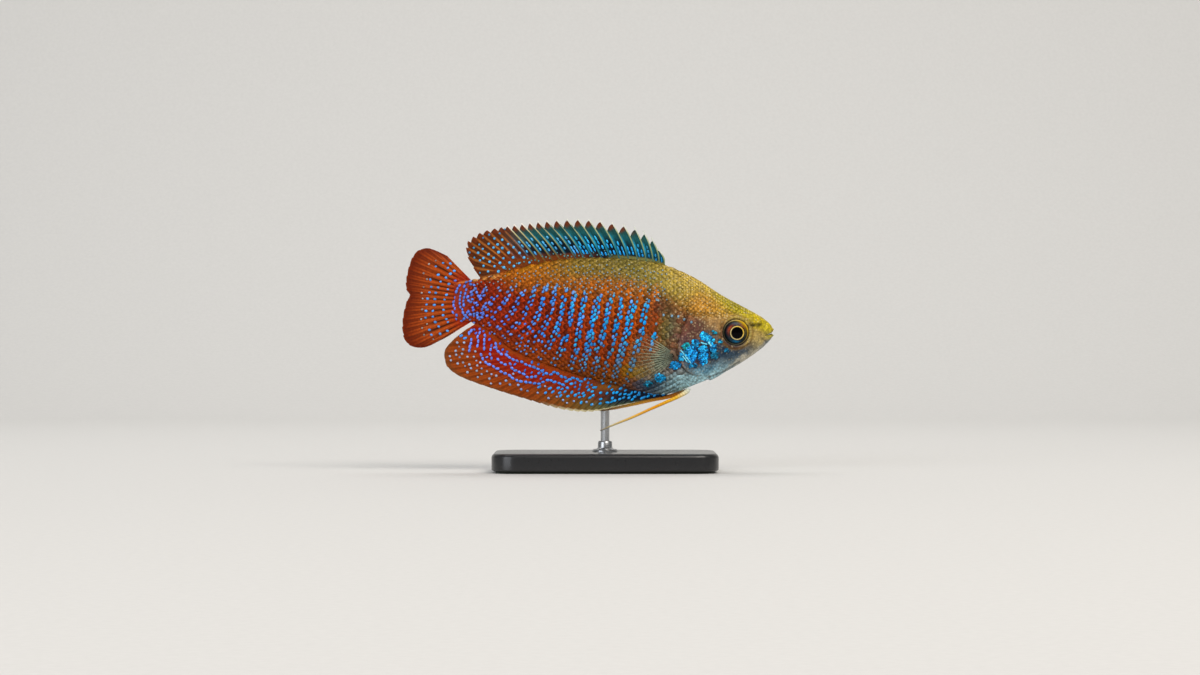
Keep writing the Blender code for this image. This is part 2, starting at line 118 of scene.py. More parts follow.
def new_material(name, **numbers):
    """A material with its node tree and shader, whose fixed numbers are set on its own sockets."""
    material = bpy.data.materials.new(name)
    material.use_nodes = True
    shader = material.node_tree.nodes["Principled BSDF"]
    for key, value in numbers.items():
        shader.inputs[key.replace("_", " ")].default_value = value
    return material, material.node_tree, shader


def new_piece(name, points, faces, material, corner_map=None, tints=None, sharp=60.0):
    """An object at the origin from places in metres and faces, with its unwrap and colours."""
    mesh = bpy.data.meshes.new(name)
    mesh.from_pydata(np.asarray(points).tolist(), [], faces)
    mesh.shade_smooth()
    mesh.set_sharp_from_angle(angle=math.radians(sharp))
    mesh.materials.append(material)
    if corner_map is not None:
        layer = mesh.uv_layers.new(name="OFBake")
        layer.data.foreach_set("uv", np.asarray(corner_map, np.float32).ravel())
    if tints is not None:
        layer = mesh.attributes.new("tint", "FLOAT_COLOR", "POINT")
        if tints.shape[1] == 3:
            tints = np.concatenate([tints, np.ones((len(tints), 1))], axis=1)
        layer.data.foreach_set("color", tints.astype(np.float32).ravel())
    made = bpy.data.objects.new(name, mesh)
    bpy.context.scene.collection.objects.link(made)
    return made


# Seamless paper is matte, with a tooth of about a millimetre, which shows as faint unevenness.
paper, tree, shader = new_material("matte_seamless_paper", Roughness=0.9, IOR=1.45)
where = add(tree, "ShaderNodeTexCoord").outputs["Object"]
tooth = add(tree, "ShaderNodeTexNoise", {"Vector": where, "Scale": 1 / (PAPER_TOOTH * MM)})
colour = add(
    tree,
    "ShaderNodeMix",
    {
        "Factor": tooth.outputs[0],
        "A": (*linear("#cfcecb"), 1),
        "B": (*linear("#d7d6d3"), 1),
    },
    data_type="RGBA",
)
tree.links.new(colour.outputs["Result"], shader.inputs["Base Color"])

profile = [(PAPER_FRONT, 0.0), (PAPER_BEND, 0.0)]
for step in range(1, BEND_STEPS + 1):
    turn = math.pi / 2 * step / BEND_STEPS
    out = PAPER_BEND + PAPER_RADIUS * math.sin(turn)
    profile.append((out, PAPER_RADIUS * (1 - math.cos(turn))))
profile.append((PAPER_BEND + PAPER_RADIUS, PAPER_TOP))
sides = (-PAPER_WIDTH / 2, PAPER_WIDTH / 2)
points = np.array([(x, y, z) for x in sides for y, z in profile]) * MM
count = len(profile)
faces = [(k, count + k, count + k + 1, k + 1) for k in range(count - 1)]
sweep = new_piece("paper_sweep", points, faces, paper)

for name, spot, size, watts, shade in SOFTBOXES:
    lamp = bpy.data.lights.new(name, "AREA")
    lamp.shape = "RECTANGLE"
    lamp.size, lamp.size_y = size[0] * MM, size[1] * MM
    lamp.energy = watts
    lamp.color = linear(shade)
    softbox = bpy.data.objects.new(name, lamp)
    bpy.context.scene.collection.objects.link(softbox)
    softbox.location = Vector(spot) * MM
    aim = Vector(LIGHT_TARGET) * MM - softbox.location
    softbox.rotation_euler = aim.to_track_quat("-Z", "Y").to_euler()

world = bpy.data.worlds.new("studio_room")
world.use_nodes = True
room = world.node_tree.nodes["Background"]
room.inputs["Color"].default_value = (1, 1, 1, 1)
room.inputs["Strength"].default_value = ROOM_LIGHT
bpy.context.scene.world = world
bpy.context.scene.view_settings.view_transform = "Standard"


# Skin. One closed loft covers head, trunk and tail stalk, from the inside of the mouth over
# the lips to a thin wedge in the root of the tail fin. On a museum's model it is cast resin,
# airbrushed by hand. Its rings start as loops round the mouth and turn into sections.
BODY = (
    (0.0, -0.75, -1.45, -2.15, 0.45, 1.00, 1.00),
    (0.4, 0.00, -1.45, -2.85, 0.95, 0.95, 1.00),
    (1.2, 0.80, -1.50, -3.75, 1.45, 0.90, 1.00),
    (2.5, 1.60, -1.50, -4.75, 2.05, 0.85, 1.00),
    (4.5, 2.72, -1.60, -6.25, 2.90, 0.85, 1.00),
    (7.4, 4.22, -1.80, -8.10, 3.75, 0.90, 1.05),
    (11.0, 6.20, -2.50, -10.10, 4.45, 1.00, 1.10),
    (15.0, 8.85, -3.20, -11.85, 5.00, 1.10, 1.10),
    (19.0, 10.95, -3.20, -13.35, 5.30, 1.15, 1.10),
    (23.0, 12.40, -2.40, -14.15, 5.40, 1.20, 1.15),
    (28.0, 13.25, -1.20, -13.25, 5.25, 1.20, 1.20),
    (36.0, 13.65, 0.40, -11.30, 4.70, 1.20, 1.25),
    (44.0, 13.20, 1.90, -8.85, 3.80, 1.20, 1.25),
    (51.0, 11.80, 3.20, -6.10, 2.90, 1.15, 1.20),
    (55.0, 10.75, 4.00, -3.85, 2.35, 1.10, 1.10),
    (58.5, 9.75, 4.60, -0.85, 1.80, 1.00, 1.00),
    (62.0, 9.15, 4.90, 0.65, 1.10, 0.90, 0.90),
    (63.6, 9.10, 4.95, 0.70, 0.60, 0.90, 0.90),
    (65.4, 8.50, 5.00, 1.50, 0.16, 0.90, 0.90),
)
ROUND = 288
HEAD_SWELL = 0.15
SNOUT_END = 5.0
HEAD_END = 26.0
POCKET_RINGS, ROLL_RINGS, LIP_RINGS, SNOUT_RINGS = 5, 9, 10, 26
HEAD_RINGS, TRUNK_RINGS = 120, 100

# Distance behind the snout and height of the gill cover's rear edge, from the throat up
GILL_EDGE_AT = (
    (-10.45, 13.2),
    (-10.3, 15.2),
    (-9.9, 16.8),
    (-9.0, 18.1),
    (-7.6, 18.95),
    (-5.6, 19.4),
    (-3.4, 19.3),
    (-1.2, 18.75),
    (0.6, 17.9),
    (2.6, 17.4),
    (5.0, 17.6),
    (9.0, 18.5),
    (14.5, 19.6),
)
THROAT_CREASE = ((13.4, -10.45), (10.2, -9.45), (7.0, -7.35))
GILL_STEP = 0.24
GILL_GROOVE = 0.16

MOUTH_PLACE = (-0.6, -1.35)
MOUTH_SLOPE = 20.0
MOUTH_GAP = 0.07
MOUTH_CORNER = (1.75, 1.35)
LIP_FRONT = 0.25
LIP_CORNER_TURN = -14.5
LIP_CREASE_UPPER, LIP_CREASE_LOWER, LIP_CREASE_CORNER = 1.4, 1.2, 2.6

EYE_PLACE = (7.75, -1.5)
SOCKET_RADII = (2.5, 2.78)
SOCKET_DEPTH = 1.35
ORBIT_RADIUS = 3.05
NOSTRILS = ((2.95, 0.02, 0.26), (4.15, -0.12, 0.34))
PECTORAL_LOBE = (20.6, -6.2)

# The ground colours from cheek to tail, along the back, the flank and the belly
GROUND_STOPS = (14.0, 21.5, 30.0, 40.0, 48.0, 57.0)
BACK_GROUND = ("#b0943a", "#9c8a38", "#8e7e36", "#9f7f2e", "#ca771a", "#b65210")
FLANK_GROUND = ("#6c5440", "#a04a0a", "#a44208", "#a43606", "#a63005", "#9a2705")
BELLY_GROUND = ("#5c7888", "#86641c", "#925010", "#94460c", "#a4460a", "#a03608")
# Airbrushed patches, one a painted highlight: distance, height, reach along and across, slope, colour and
# strength
PATCHES = (
    (16.8, 9.4, 8.0, 4.2, 35, "#cfae46", 0.95),
    (11.5, 3.9, 4.6, 3.2, 20, "#cc9c34", 0.95),
    (14.9, 3.8, 3.4, 2.4, 10, "#c8882a", 0.75),
    (6.8, 3.3, 7.4, 1.6, 33, "#b4a41a", 0.95),
    (3.4, 0.5, 3.2, 1.7, 25, "#c4ac12", 0.95),
    (1.1, -0.3, 1.7, 1.2, 0, "#c6b422", 0.9),
    (0.9, -2.1, 1.5, 0.9, 0, "#bcae3a", 0.9),
    (3.9, -2.1, 2.0, 1.4, 0, "#ae9450", 0.9),
    (3.3, -3.8, 2.6, 1.1, -38, "#b8a468", 0.85),
    (7.6, -5.7, 4.4, 1.3, -18, "#3a4c5a", 0.9),
    (5.8, -6.6, 5.4, 0.6, -31, "#c0b8a4", 0.9),
    (11.4, -5.4, 3.8, 2.2, -14, "#183850", 0.92),
    (15.8, -5.8, 3.4, 2.4, 0, "#0c2e4c", 0.95),
    (15.8, -11.3, 6.4, 1.7, -26, "#bceaf4", 0.95),
    (14.4, -9.0, 3.6, 1.0, -14, "#3a7490", 0.85),
    (17.7, -8.3, 1.5, 0.9, 50, "#34566a", 0.9),
    (20.2, -11.9, 5.0, 2.6, -14, "#98c0c8", 0.95),
    (25.0, -12.2, 3.6, 2.0, 0, "#34506a", 0.9),
    (27.6, -9.4, 3.4, 1.5, 6, "#b08c12", 0.75),
    (16.0, -0.6, 3.2, 2.2, 0, "#5a3a34", 0.85),
    (18.6, -3.2, 2.2, 1.9, 0, "#524248", 0.75),
    (22.3, 3.4, 2.8, 2.2, 0, "#6f462f", 0.8),
    (11.8, 0.2, 2.2, 2.2, 0, "#a07c4c", 0.8),
    (12.6, -2.4, 2.4, 1.6, 0, "#5c5450", 0.7),
    (22.6, -7.4, 3.0, 3.0, 12, "#6c8078", 0.85),
    (25.6, -7.6, 3.0, 2.2, 0, "#7c7c54", 0.5),
    (20.5, -5.1, 1.0, 0.8, -30, "#2c1e18", 0.85),
    (21.9, -1.2, 1.5, 4.6, 8, "#6a6432", 0.85),
    (20.3, -0.4, 1.0, 3.0, 12, "#5c6a50", 0.7),
    (24.3, -0.2, 1.0, 4.6, 6, "#a8460c", 0.75),
    (27.2, -6.2, 3.2, 2.8, 10, "#9c5714", 0.6),
    (61.0, 5.2, 5.6, 4.3, 0, "#982c04", 0.9),
    # Painted highlight: a thin pale streak along the top edge of the tail stalk
    (59.5, 9.6, 4.4, 0.35, -10, "#d89a50", 0.85),
    (50.0, 11.6, 6.0, 0.5, -17, "#d08818", 0.8),
)
# The flank's leaning bars of blue spots: number, and distances at heights down the flank
BAR_HEIGHTS = (7.2, 4.1, 1.0, -2.05, -5.1, -8.2)
BARS = (
    (0, 22.2, 23.1, 23.7, 24.3, 25.2, 26.1),
    (2, 27.6, 28.7, 29.5, 30.0, 30.9, 31.8),
    (4, 32.5, 33.5, 34.1, 34.9, 35.6, 36.4),
    (6, 38.2, 38.9, 39.3, 39.8, 40.3, 41.3),
    (8, 42.5, 43.05, 43.5, 44.7, 46.4, 48.9),
    (10, 46.6, 47.25, 48.5, 51.1, 54.8, 58.9),
    (12, 50.9, 52.4, 54.6, 57.7, 61.4, 65.3),
    (14, 56.1, 58.1, 60.6, 63.7, 67.1, 70.6),
    (16, 61.2, 63.4, 66.0, 69.0, 72.4, 76.0),
)
BAR_GLOW = "#da6c08"
# Painted shade: the inside of the mouth, and the gill cover's rear crease
MOUTH_SHADE, CREASE_SHADE = "#1a100c", "#2a1c18"
FLECK_COLOUR = "#ecd9a4"


def between(rows, at, column):
    """A column of a table at values of its first column, on a smooth curve through the rows."""
    table = np.array(rows, float)
    x, y = table[:, 0], table[:, column]
    at = np.asarray(at, float)
    low = np.clip(np.searchsorted(x, at, side="right") - 1, 0, len(x) - 2)
    high, before, after = low + 1, np.maximum(low - 1, 0), np.minimum(low + 2, len(x) - 1)
    width = x[high] - x[low]
    slope_low = (y[high] - y[before]) / (x[high] - x[before])
    slope_high = (y[after] - y[low]) / (x[after] - x[low])
    t = np.clip((at - x[low]) / width, 0, 1)
    ends = y[low] * (1 + 2 * t) * (1 - t) ** 2 + y[high] * t * t * (3 - 2 * t)
    return ends + width * t * (1 - t) * (slope_low * (1 - t) - slope_high * t)


def fade(low, high, value):
    """0 at low, 1 at high, and smooth between them."""
    t = np.clip((np.asarray(value, float) - low) / (high - low), 0, 1)
    return t * t * (3 - 2 * t)


def bell(value, width):
    """1 at 0, falling off to both sides over a width."""
    return np.exp(-((value / width) ** 2))


def skin_at(distance, angle, swell=0.0):
    """Places of the skin, at angles round its sections from the left side over the back."""
    distance, angle = np.broadcast_arrays(np.asarray(distance, float), angle)
    middle = between(BODY, distance, 2)
    over = np.sin(angle) >= 0
    edge = np.where(over, between(BODY, distance, 1), between(BODY, distance, 3))
    keel = np.where(over, between(BODY, distance, 5), between(BODY, distance, 6))
    across = np.cos(angle)
    side = np.sign(across) * np.abs(across) ** keel * (between(BODY, distance, 4) + swell)
    return np.stack([distance, side, middle + np.abs(edge - middle) * np.sin(angle)], -1)


def half_width(distance, height):
    """How far the plain skin is from the middle plane."""
    distance, height = np.broadcast_arrays(np.asarray(distance, float), height)
    middle = between(BODY, distance, 2)
    over = height >= middle
    edge = np.where(over, between(BODY, distance, 1), between(BODY, distance, 3))
    keel = np.where(over, between(BODY, distance, 5), between(BODY, distance, 6))
    share = np.clip(np.abs((height - middle) / (edge - middle)), 0, 1)
    return between(BODY, distance, 4) * np.sqrt(1 - share**2) ** keel


def gill_edge_line():
    """Places along the rear edge of the gill cover, from the throat up to the nape."""
    height = np.linspace(GILL_EDGE_AT[0][0], GILL_EDGE_AT[-1][0], 120)
    return np.stack([between(GILL_EDGE_AT, height, 1), height], 1)


GILL_EDGE = gill_edge_line()


def behind_gill(distance, height):
    """How far places are behind the gill cover's edge, less than 0 on the cover."""
    away = np.hypot(distance[..., None] - GILL_EDGE[:, 0], height[..., None] - GILL_EDGE[:, 1])
    edge = np.interp(height, GILL_EDGE[:, 1], GILL_EDGE[:, 0])
    return np.where(distance > edge, away.min(-1), -away.min(-1))


def from_line(distance, height, start, end):
    """How far places are from a straight line between two places."""
    start, run = np.array(start), np.array(end) - np.array(start)
    x, y = distance - start[0], height - start[1]
    t = np.clip((x * run[0] + y * run[1]) / (run @ run), 0, 1)
    return np.hypot(x - t * run[0], y - t * run[1])


def throat_crease(distance, height):
    """How far places are from the crease that runs on forward from the gill cover."""
    first, bend, last = THROAT_CREASE
    return np.minimum(
        from_line(distance, height, first, bend), from_line(distance, height, bend, last)
    )


def relief(distance, height):
    """How far the modelled skin stands out from the plain sections."""
    behind = behind_gill(distance, height)
    covered = 1 - fade(2.0, 7.0, height)
    blur = 0.3 + 5.0 * fade(2.0, 6.0, height)
    out = HEAD_SWELL * (1 - fade(-1, 1, behind / blur))
    out += GILL_STEP * covered * (1 - fade(-0.25, 0.1, behind)) * fade(-4.5, -0.2, behind)
    out -= GILL_GROOVE * covered * bell(behind - 0.25, 0.22)
    ring = np.hypot(distance - EYE_PLACE[0], height - EYE_PLACE[1])
    out -= SOCKET_DEPTH * (1 - fade(*SOCKET_RADII, ring))
    out += 0.2 * bell(ring - ORBIT_RADIUS, 0.26) - 0.07 * bell(ring - 3.6, 0.25)
    for far, high, radius in NOSTRILS:
        pit = np.hypot(distance - far, (height - high) * 1.2)
        out += 0.08 * bell(pit - radius * 1.5, 0.16) - 0.42 * bell(pit, radius * 0.75)
    out -= 0.12 * bell(from_line(distance, height, (1.9, -2.3), (3.5, -3.9)), 0.16)
    out -= 0.06 * bell(from_line(distance, height, (3.5, -3.9), (6.6, -6.0)), 0.2)
    out -= 0.1 * bell(throat_crease(distance, height), 0.22)
    cheek = np.hypot((distance - 8.6) / 1.05, height + 2.6)
    behind_cheek = fade(9.0, 11.0, distance) * (1 - fade(-1.0, 0.6, height))
    out -= 0.08 * bell(cheek - 5.0, 0.22) * behind_cheek
    lobe = ((distance - PECTORAL_LOBE[0]) / 0.9) ** 2 + ((height - PECTORAL_LOBE[1]) / 1.7) ** 2
    return out + 0.3 * np.exp(-lobe)


def bar_distance(number, height):
    """How far behind the snout a bar is at a height."""
    table = np.array(BARS)
    at = [np.interp(number, table[:, 0], table[:, k + 1]) for k in range(len(BAR_HEIGHTS))]
    top = at[0] + (at[0] - at[1]) * (height - BAR_HEIGHTS[0]) / 3.1
    low = at[-1] + (at[-1] - at[-2]) * (BAR_HEIGHTS[-1] - height) / 3.1
    inner = np.interp(height, BAR_HEIGHTS[::-1], at[::-1])
    return np.where(height > BAR_HEIGHTS[0], top, np.where(height < BAR_HEIGHTS[-1], low, inner))


def bar_number(distance, height):
    """The number of the bar at each place, with a fraction between bars."""
    numbers = [row[0] for row in BARS]
    lines = [bar_distance(number, height) for number in numbers]
    total = np.zeros_like(distance)
    for k in range(len(lines) - 1):
        run = (distance - lines[k]) / (lines[k + 1] - lines[k])
        total += 2 * np.clip(run, -2 if k == 0 else 0, 1)
    return total


def flesh_tint(distance, height):
    """The airbrushed ground colour of the skin and its scales, the same on both sides."""
    distance, height = np.broadcast_arrays(np.asarray(distance, float), height)
    wave = 0.35 * np.sin(1.9 * distance + 1.3 * height) + 0.25 * np.sin(3.1 * height - 2.3 * distance)
    middle = between(BODY, distance, 2)
    over = height >= middle
    edge = np.where(over, between(BODY, distance, 1), between(BODY, distance, 3))
    share = (height - middle) / np.abs(edge - middle)
    bands = []
    for ground in (BACK_GROUND, FLANK_GROUND, BELLY_GROUND):
        stops = np.array([linear(code) for code in ground])
        spread = [np.interp(distance + wave, GROUND_STOPS, stops[:, c]) for c in range(3)]
        bands.append(np.stack(spread, -1))
    narrow = 0.4 * fade(50, 59, distance)
    back = fade(0.3 + 1.3 * narrow, 0.78 + 0.5 * narrow, share + 0.05 * wave)[..., None]
    belly = fade(-0.5, -0.95, share + 0.05 * wave)[..., None]
    tint = bands[1] * (1 - back) + bands[0] * back
    tint = tint * (1 - belly) + bands[2] * belly
    stripe = 0.5 - 0.5 * np.cos(2 * math.pi * bar_number(distance, height))
    striped = fade(0.8, 0.55, share) * fade(-0.9, -0.5, share)
    striped *= fade(21.5, 23.0, distance) * fade(60, 50, distance)
    tint = tint * (1 + striped * (0.95 * stripe - 0.6))[..., None]
    glow = (0.85 * striped * stripe * fade(0.0, 0.5, share) * fade(50, 34, distance))[..., None]
    tint = tint * (1 - glow) + np.array(linear(BAR_GLOW)) * glow
    warm = bell(share - 0.56, 0.17) * fade(25, 31, distance) * fade(58, 50, distance)
    tint = tint + (np.array(linear("#c26812")) - tint) * 0.6 * warm[..., None]
    for far, high, long, wide, slope, code, strength in PATCHES:
        x, y = distance - far + 0.5 * wave, height - high + 0.3 * wave
        turn = math.radians(slope)
        along = x * math.cos(turn) + y * math.sin(turn)
        across = y * math.cos(turn) - x * math.sin(turn)
        reach = np.sqrt((along / long) ** 2 + (across / wide) ** 2)
        cover = (strength * np.exp(-(reach**3)))[..., None]
        tint = tint * (1 - cover) + np.array(linear(code)) * cover
    mottle = np.sin(5.2 * distance + 2.2 * np.sin(1.9 * height))
    mottle = mottle * np.sin(6.4 * height + 1.8 * np.sin(2.3 * distance))
    throat = fade(-7, -9, height) * fade(28, 24, distance) * fade(8, 12, distance)
    return tint * (1 + 0.38 * mottle * throat)[..., None]


def with_flecks(distance, height, tint):
    """The skin's colours, with how far pale flecks show among its grains as a fourth number."""
    middle, top = between(BODY, distance, 2), between(BODY, distance, 1)
    share = (height - middle) / (top - middle)
    head = 0.6 * fade(27, 17, distance) * fade(2.0, 5.0, distance)
    back = 0.55 * fade(0.35, 0.75, share) * fade(50, 32, distance)
    throat = fade(-3.0, -6.0, height) * fade(30, 24, distance)
    cheek = fade(2.5, -1.0, height) * fade(23, 19, distance)
    amount = np.maximum(head, back) * (1 - 0.4 * throat) * (1 - 0.45 * cheek)
    return np.concatenate([tint, amount[..., None]], axis=-1)


def head_marks(distance, height, tint):
    """The skin's colour with painted shade in its creases, pits and eye socket, and the eye's rings."""

    def blend(code, cover):
        return tint * (1 - cover[..., None]) + np.array(linear(code)) * cover[..., None]

    x, y = distance - EYE_PLACE[0], height - EYE_PLACE[1]
    ring = np.hypot(x, y)
    rear_low = fade(-0.6, 0.7, (x * 0.8 - y * 0.6) / np.maximum(ring, 0.1))
    tint = blend("#8a6a2c", 0.7 * bell(ring - 3.35, 0.3))
    # Painted shadow: a dark crescent on the rear, lower side of the eye's rim
    tint = blend("#5a2f14", 0.8 * rear_low * bell(ring - 3.15, 0.22))
    tint = blend("#b5a052", 0.8 * (1 - rear_low) * bell(ring - 3.0, 0.16))
    # Painted shade in the socket round the eye
    tint = blend("#120c0a", 1 - fade(2.6, 2.85, ring))
    # Painted shade in the nostril pits
    for far, high, radius in NOSTRILS:
        pit = np.hypot(distance - far, (height - high) * 1.2)
        tint = blend("#2c2208", 0.9 * bell(pit, radius * 0.8))
    nostrils = from_line(distance, height, (2.6, 0.15), (4.8, -0.1))
    tint = blend("#3c360c", 0.75 * bell(nostrils, 0.42))
    # Painted shade along the gill cover's rear crease and along the throat's crease
    behind = behind_gill(distance, height)
    crease = bell(behind - 0.22, 0.2) * (1 - fade(1.0, 4.0, height))
    tint = blend(CREASE_SHADE, 0.75 * crease)
    tint = blend("#26363e", 0.6 * bell(throat_crease(distance, height), 0.2))
    tint = blend("#b4a08a", 0.5 * bell(behind + 0.12, 0.16) * (1 - fade(-6.0, -2.0, height)))
    return tint


def closed_grid(rings):
    """Places, faces and unwrap of rings of places, each closed, with a point over each end."""
    count, around = rings.shape[:2]
    points = np.concatenate([rings.reshape(-1, 3), [rings[0].mean(0), rings[-1].mean(0)]])
    step = np.linalg.norm(np.diff(rings, axis=0), axis=2).mean(1)
    along = np.concatenate([[0.0], np.cumsum(step)])
    along = 0.01 + 0.98 * along / along[-1]
    faces, corner_map = [], []
    for i in range(count - 1):
        for j in range(around):
            beside = (j + 1) % around
            low, high = i * around, (i + 1) * around
            faces.append((low + j, low + beside, high + beside, high + j))
            a, b, c, d = along[i], along[i + 1], j / around, (j + 1) / around
            corner_map += [(a, c), (a, d), (b, d), (b, c)]
    for row, tip, edge in ((0, len(points) - 2, 0.0), (count - 1, len(points) - 1, 1.0)):
        for j in range(around):
            beside = (j + 1) % around
            face = [row * around + beside, row * around + j, tip]
            spots = [(along[row], (j + 1) / around), (along[row], j / around), (edge, j / around)]
            faces.append(tuple(face if row == 0 else face[::-1]))
            corner_map += spots if row == 0 else spots[::-1]
    first = np.array([points[face[0]] for face in faces])
    second = np.array([points[face[1]] for face in faces])
    third = np.array([points[face[2]] for face in faces])
    if np.einsum("ij,ij->i", first, np.cross(second, third)).sum() > 0:
        return points, faces, corner_map
    turned_map, start = [], 0
    for face in faces:
        turned_map += corner_map[start : start + len(face)][::-1]
        start += len(face)
    return points, [face[::-1] for face in faces], turned_map


def mouth_height(distance):
    """The height of the line between the lips."""
    return MOUTH_PLACE[1] - (distance - MOUTH_PLACE[0]) * math.tan(math.radians(MOUTH_SLOPE))


def skin_rings():
    """The skin's rings, how far each is modelled, and its painted shade in and round the mouth."""
    angle = -math.pi / 2 + 2 * math.pi * np.arange(ROUND) / ROUND
    up, across = np.sin(angle), np.cos(angle)
    quarter = np.arcsin(np.clip(np.abs(up), 0, 1)) / (math.pi / 2)
    corner = math.radians(LIP_CORNER_TURN)
    upper = corner + (math.pi / 2 - corner) * quarter**2
    lower = corner - (math.pi / 2 + corner) * quarter**2
    bent = np.where(up >= 0, upper, lower)
    lip_angle = np.where(across >= 0, bent, math.pi - bent)
    back, wide = MOUTH_CORNER
    lip_back = back - (back - LIP_FRONT) * np.abs(up)
    line = np.stack([lip_back, wide * across, mouth_height(lip_back) + MOUTH_GAP * up], -1)
    rings, modelled, painted_shade = [], [], []
    for k in range(POCKET_RINGS):
        t = 1 - k / POCKET_RINGS
        deep = lip_back + 1.6 * t
        height = mouth_height(deep) + (1 - t) * MOUTH_GAP * up
        rings.append(np.stack([deep, wide * across * (1 - 0.8 * t), height], -1))
    lip_start = 0.03 * up**2 + 1.95 * across**2
    crease = np.where(up >= 0, LIP_CREASE_UPPER, LIP_CREASE_LOWER)
    lip_end = crease * up**2 + LIP_CREASE_CORNER * across**2
    outer = skin_at(lip_start, lip_angle, HEAD_SWELL)
    push = np.stack([-0.15 - 0.45 * np.abs(up), 0.2 * across, 0.3 * up], -1)
    bulge = (line + outer) / 2 + push
    for t in np.linspace(0, 1, ROLL_RINGS):
        rings.append((1 - t) ** 2 * line + 2 * t * (1 - t) * bulge + t * t * outer)
    modelled += [0.0] * (POCKET_RINGS + ROLL_RINGS)
    painted_shade += [1.0] * (POCKET_RINGS + 1) + [0.55, 0.15] + [0.0] * (ROLL_RINGS - 3)
    for t in np.linspace(0, 1, LIP_RINGS + 1)[1:]:
        swell = HEAD_SWELL + 0.3 * math.sin(math.pi * t) * (0.35 + 0.65 * np.abs(up))
        rings.append(skin_at(lip_start + (lip_end - lip_start) * t, lip_angle, swell))
        modelled.append(0.0)
        painted_shade.append(0.3 * float(bell(t - 1, 0.12)))
    for t in np.linspace(0, 1, SNOUT_RINGS + 1)[1:]:
        turned = lip_angle + (angle - lip_angle) * fade(0, 1, t)
        swell = HEAD_SWELL - 0.1 * float(bell(t, 0.06))
        rings.append(skin_at(lip_end + (SNOUT_END - lip_end) * t, turned, swell))
        modelled.append(float(fade(0, 0.3, t)))
        painted_shade.append(0.3 * float(bell(t, 0.05)))
    stations = [
        *np.linspace(SNOUT_END, HEAD_END, HEAD_RINGS + 1)[1:],
        *np.linspace(HEAD_END, BODY[-1][0], TRUNK_RINGS + 1)[1:],
    ]
    for distance in stations:
        rings.append(skin_at(distance, angle))
        modelled.append(1.0)
        painted_shade.append(0.0)
    return np.array(rings), np.array(modelled)[:, None], np.array(painted_shade)[:, None]


def outward(rings):
    """The outward direction at each place of a grid of rings."""
    along = np.gradient(rings, axis=0)
    around = np.roll(rings, -1, axis=1) - np.roll(rings, 1, axis=1)
    normal = np.cross(along, around)
    length = np.linalg.norm(normal, axis=-1, keepdims=True)
    normal /= np.maximum(length, 1e-9)
    away = rings - rings.mean(axis=1, keepdims=True)
    middle = len(rings) // 2
    return normal if (normal[middle] * away[middle]).sum() > 0 else -normal


def painted_resin(name, grain, grain_depth, rim_dark=0.0):
    """Airbrushed resin: the colour attribute, broken into pigment grains of a size."""
    material, tree, shader = new_material(
        name, Roughness=0.45, IOR=1.22, Coat_Weight=0.04, Coat_Roughness=0.2
    )
    where = add(tree, "ShaderNodeTexCoord").outputs["Object"]
    given = add(tree, "ShaderNodeAttribute", attribute_name="tint").outputs
    flecks = add(tree, "ShaderNodeTexVoronoi", {"Vector": where, "Scale": 1 / (0.5 * MM)}).outputs
    chosen = add(tree, "ShaderNodeSeparateColor", {"Color": flecks["Color"]}).outputs
    dot = add(tree, "ShaderNodeMapRange", {"Value": flecks["Distance"], 1: 0.5, 2: 0.22})
    some = add(tree, "ShaderNodeMapRange", {"Value": chosen[0], 1: 0.3, 2: 0.9})
    fleck = add(tree, "ShaderNodeMath", {0: dot.outputs[0], 1: some.outputs[0]}, operation="MULTIPLY")
    cover = add(
        tree, "ShaderNodeMath", {0: fleck.outputs[0], 1: given["Alpha"]}, operation="MULTIPLY"
    )
    flecked = add(
        tree,
        "ShaderNodeMix",
        {"Factor": cover.outputs[0], "A": given["Color"], "B": (*linear(FLECK_COLOUR), 1)},
        data_type="RGBA",
    )
    tint = flecked.outputs["Result"]
    cells = add(
        tree,
        "ShaderNodeTexVoronoi",
        {"Vector": where, "Scale": 1 / (grain * MM), "Smoothness": 0.35},
        feature="SMOOTH_F1",
    )
    spread = add(
        tree,
        "ShaderNodeTexNoise",
        {"Vector": where, "Scale": 1 / (2.6 * grain * MM), "Detail": 4.0, "Roughness": 0.7},
    )
    grains = add(
        tree,
        "ShaderNodeMapRange",
        {"Value": cells.outputs["Distance"], 1: 0.15, 2: 0.75, 3: 1.0 + grain_depth, 4: 1.0 - grain_depth},
    )
    clouds = add(
        tree, "ShaderNodeMapRange", {"Value": spread.outputs[0], 1: 0.3, 2: 0.7, 3: 0.66, 4: 1.34}
    )
    factor = add(
        tree, "ShaderNodeMath", {0: grains.outputs[0], 1: clouds.outputs[0]}, operation="MULTIPLY"
    )
    factor = factor.outputs[0]
    if rim_dark:
        rim = add(tree, "ShaderNodeAttribute", attribute_name="edge").outputs["Fac"]
        shade = add(tree, "ShaderNodeMapRange", {"Value": rim, 1: 0.35, 2: 1.0, 3: 1.0, 4: rim_dark})
        factor = add(
            tree, "ShaderNodeMath", {0: factor, 1: shade.outputs[0]}, operation="MULTIPLY"
        ).outputs[0]
    painted = add(tree, "ShaderNodeVectorMath", {0: tint, "Scale": factor}, operation="SCALE")
    tree.links.new(painted.outputs[0], shader.inputs["Base Color"])
    bump = add(
        tree,
        "ShaderNodeBump",
        {"Height": cells.outputs["Distance"], "Strength": 0.35, "Distance": 0.04 * MM},
        invert=True,
    )
    tree.links.new(bump.outputs[0], shader.inputs["Normal"])
    return material


rings, modelled, painted_shade = skin_rings()
tints = flesh_tint(rings[..., 0], rings[..., 2])
tints = head_marks(rings[..., 0], rings[..., 2], tints)
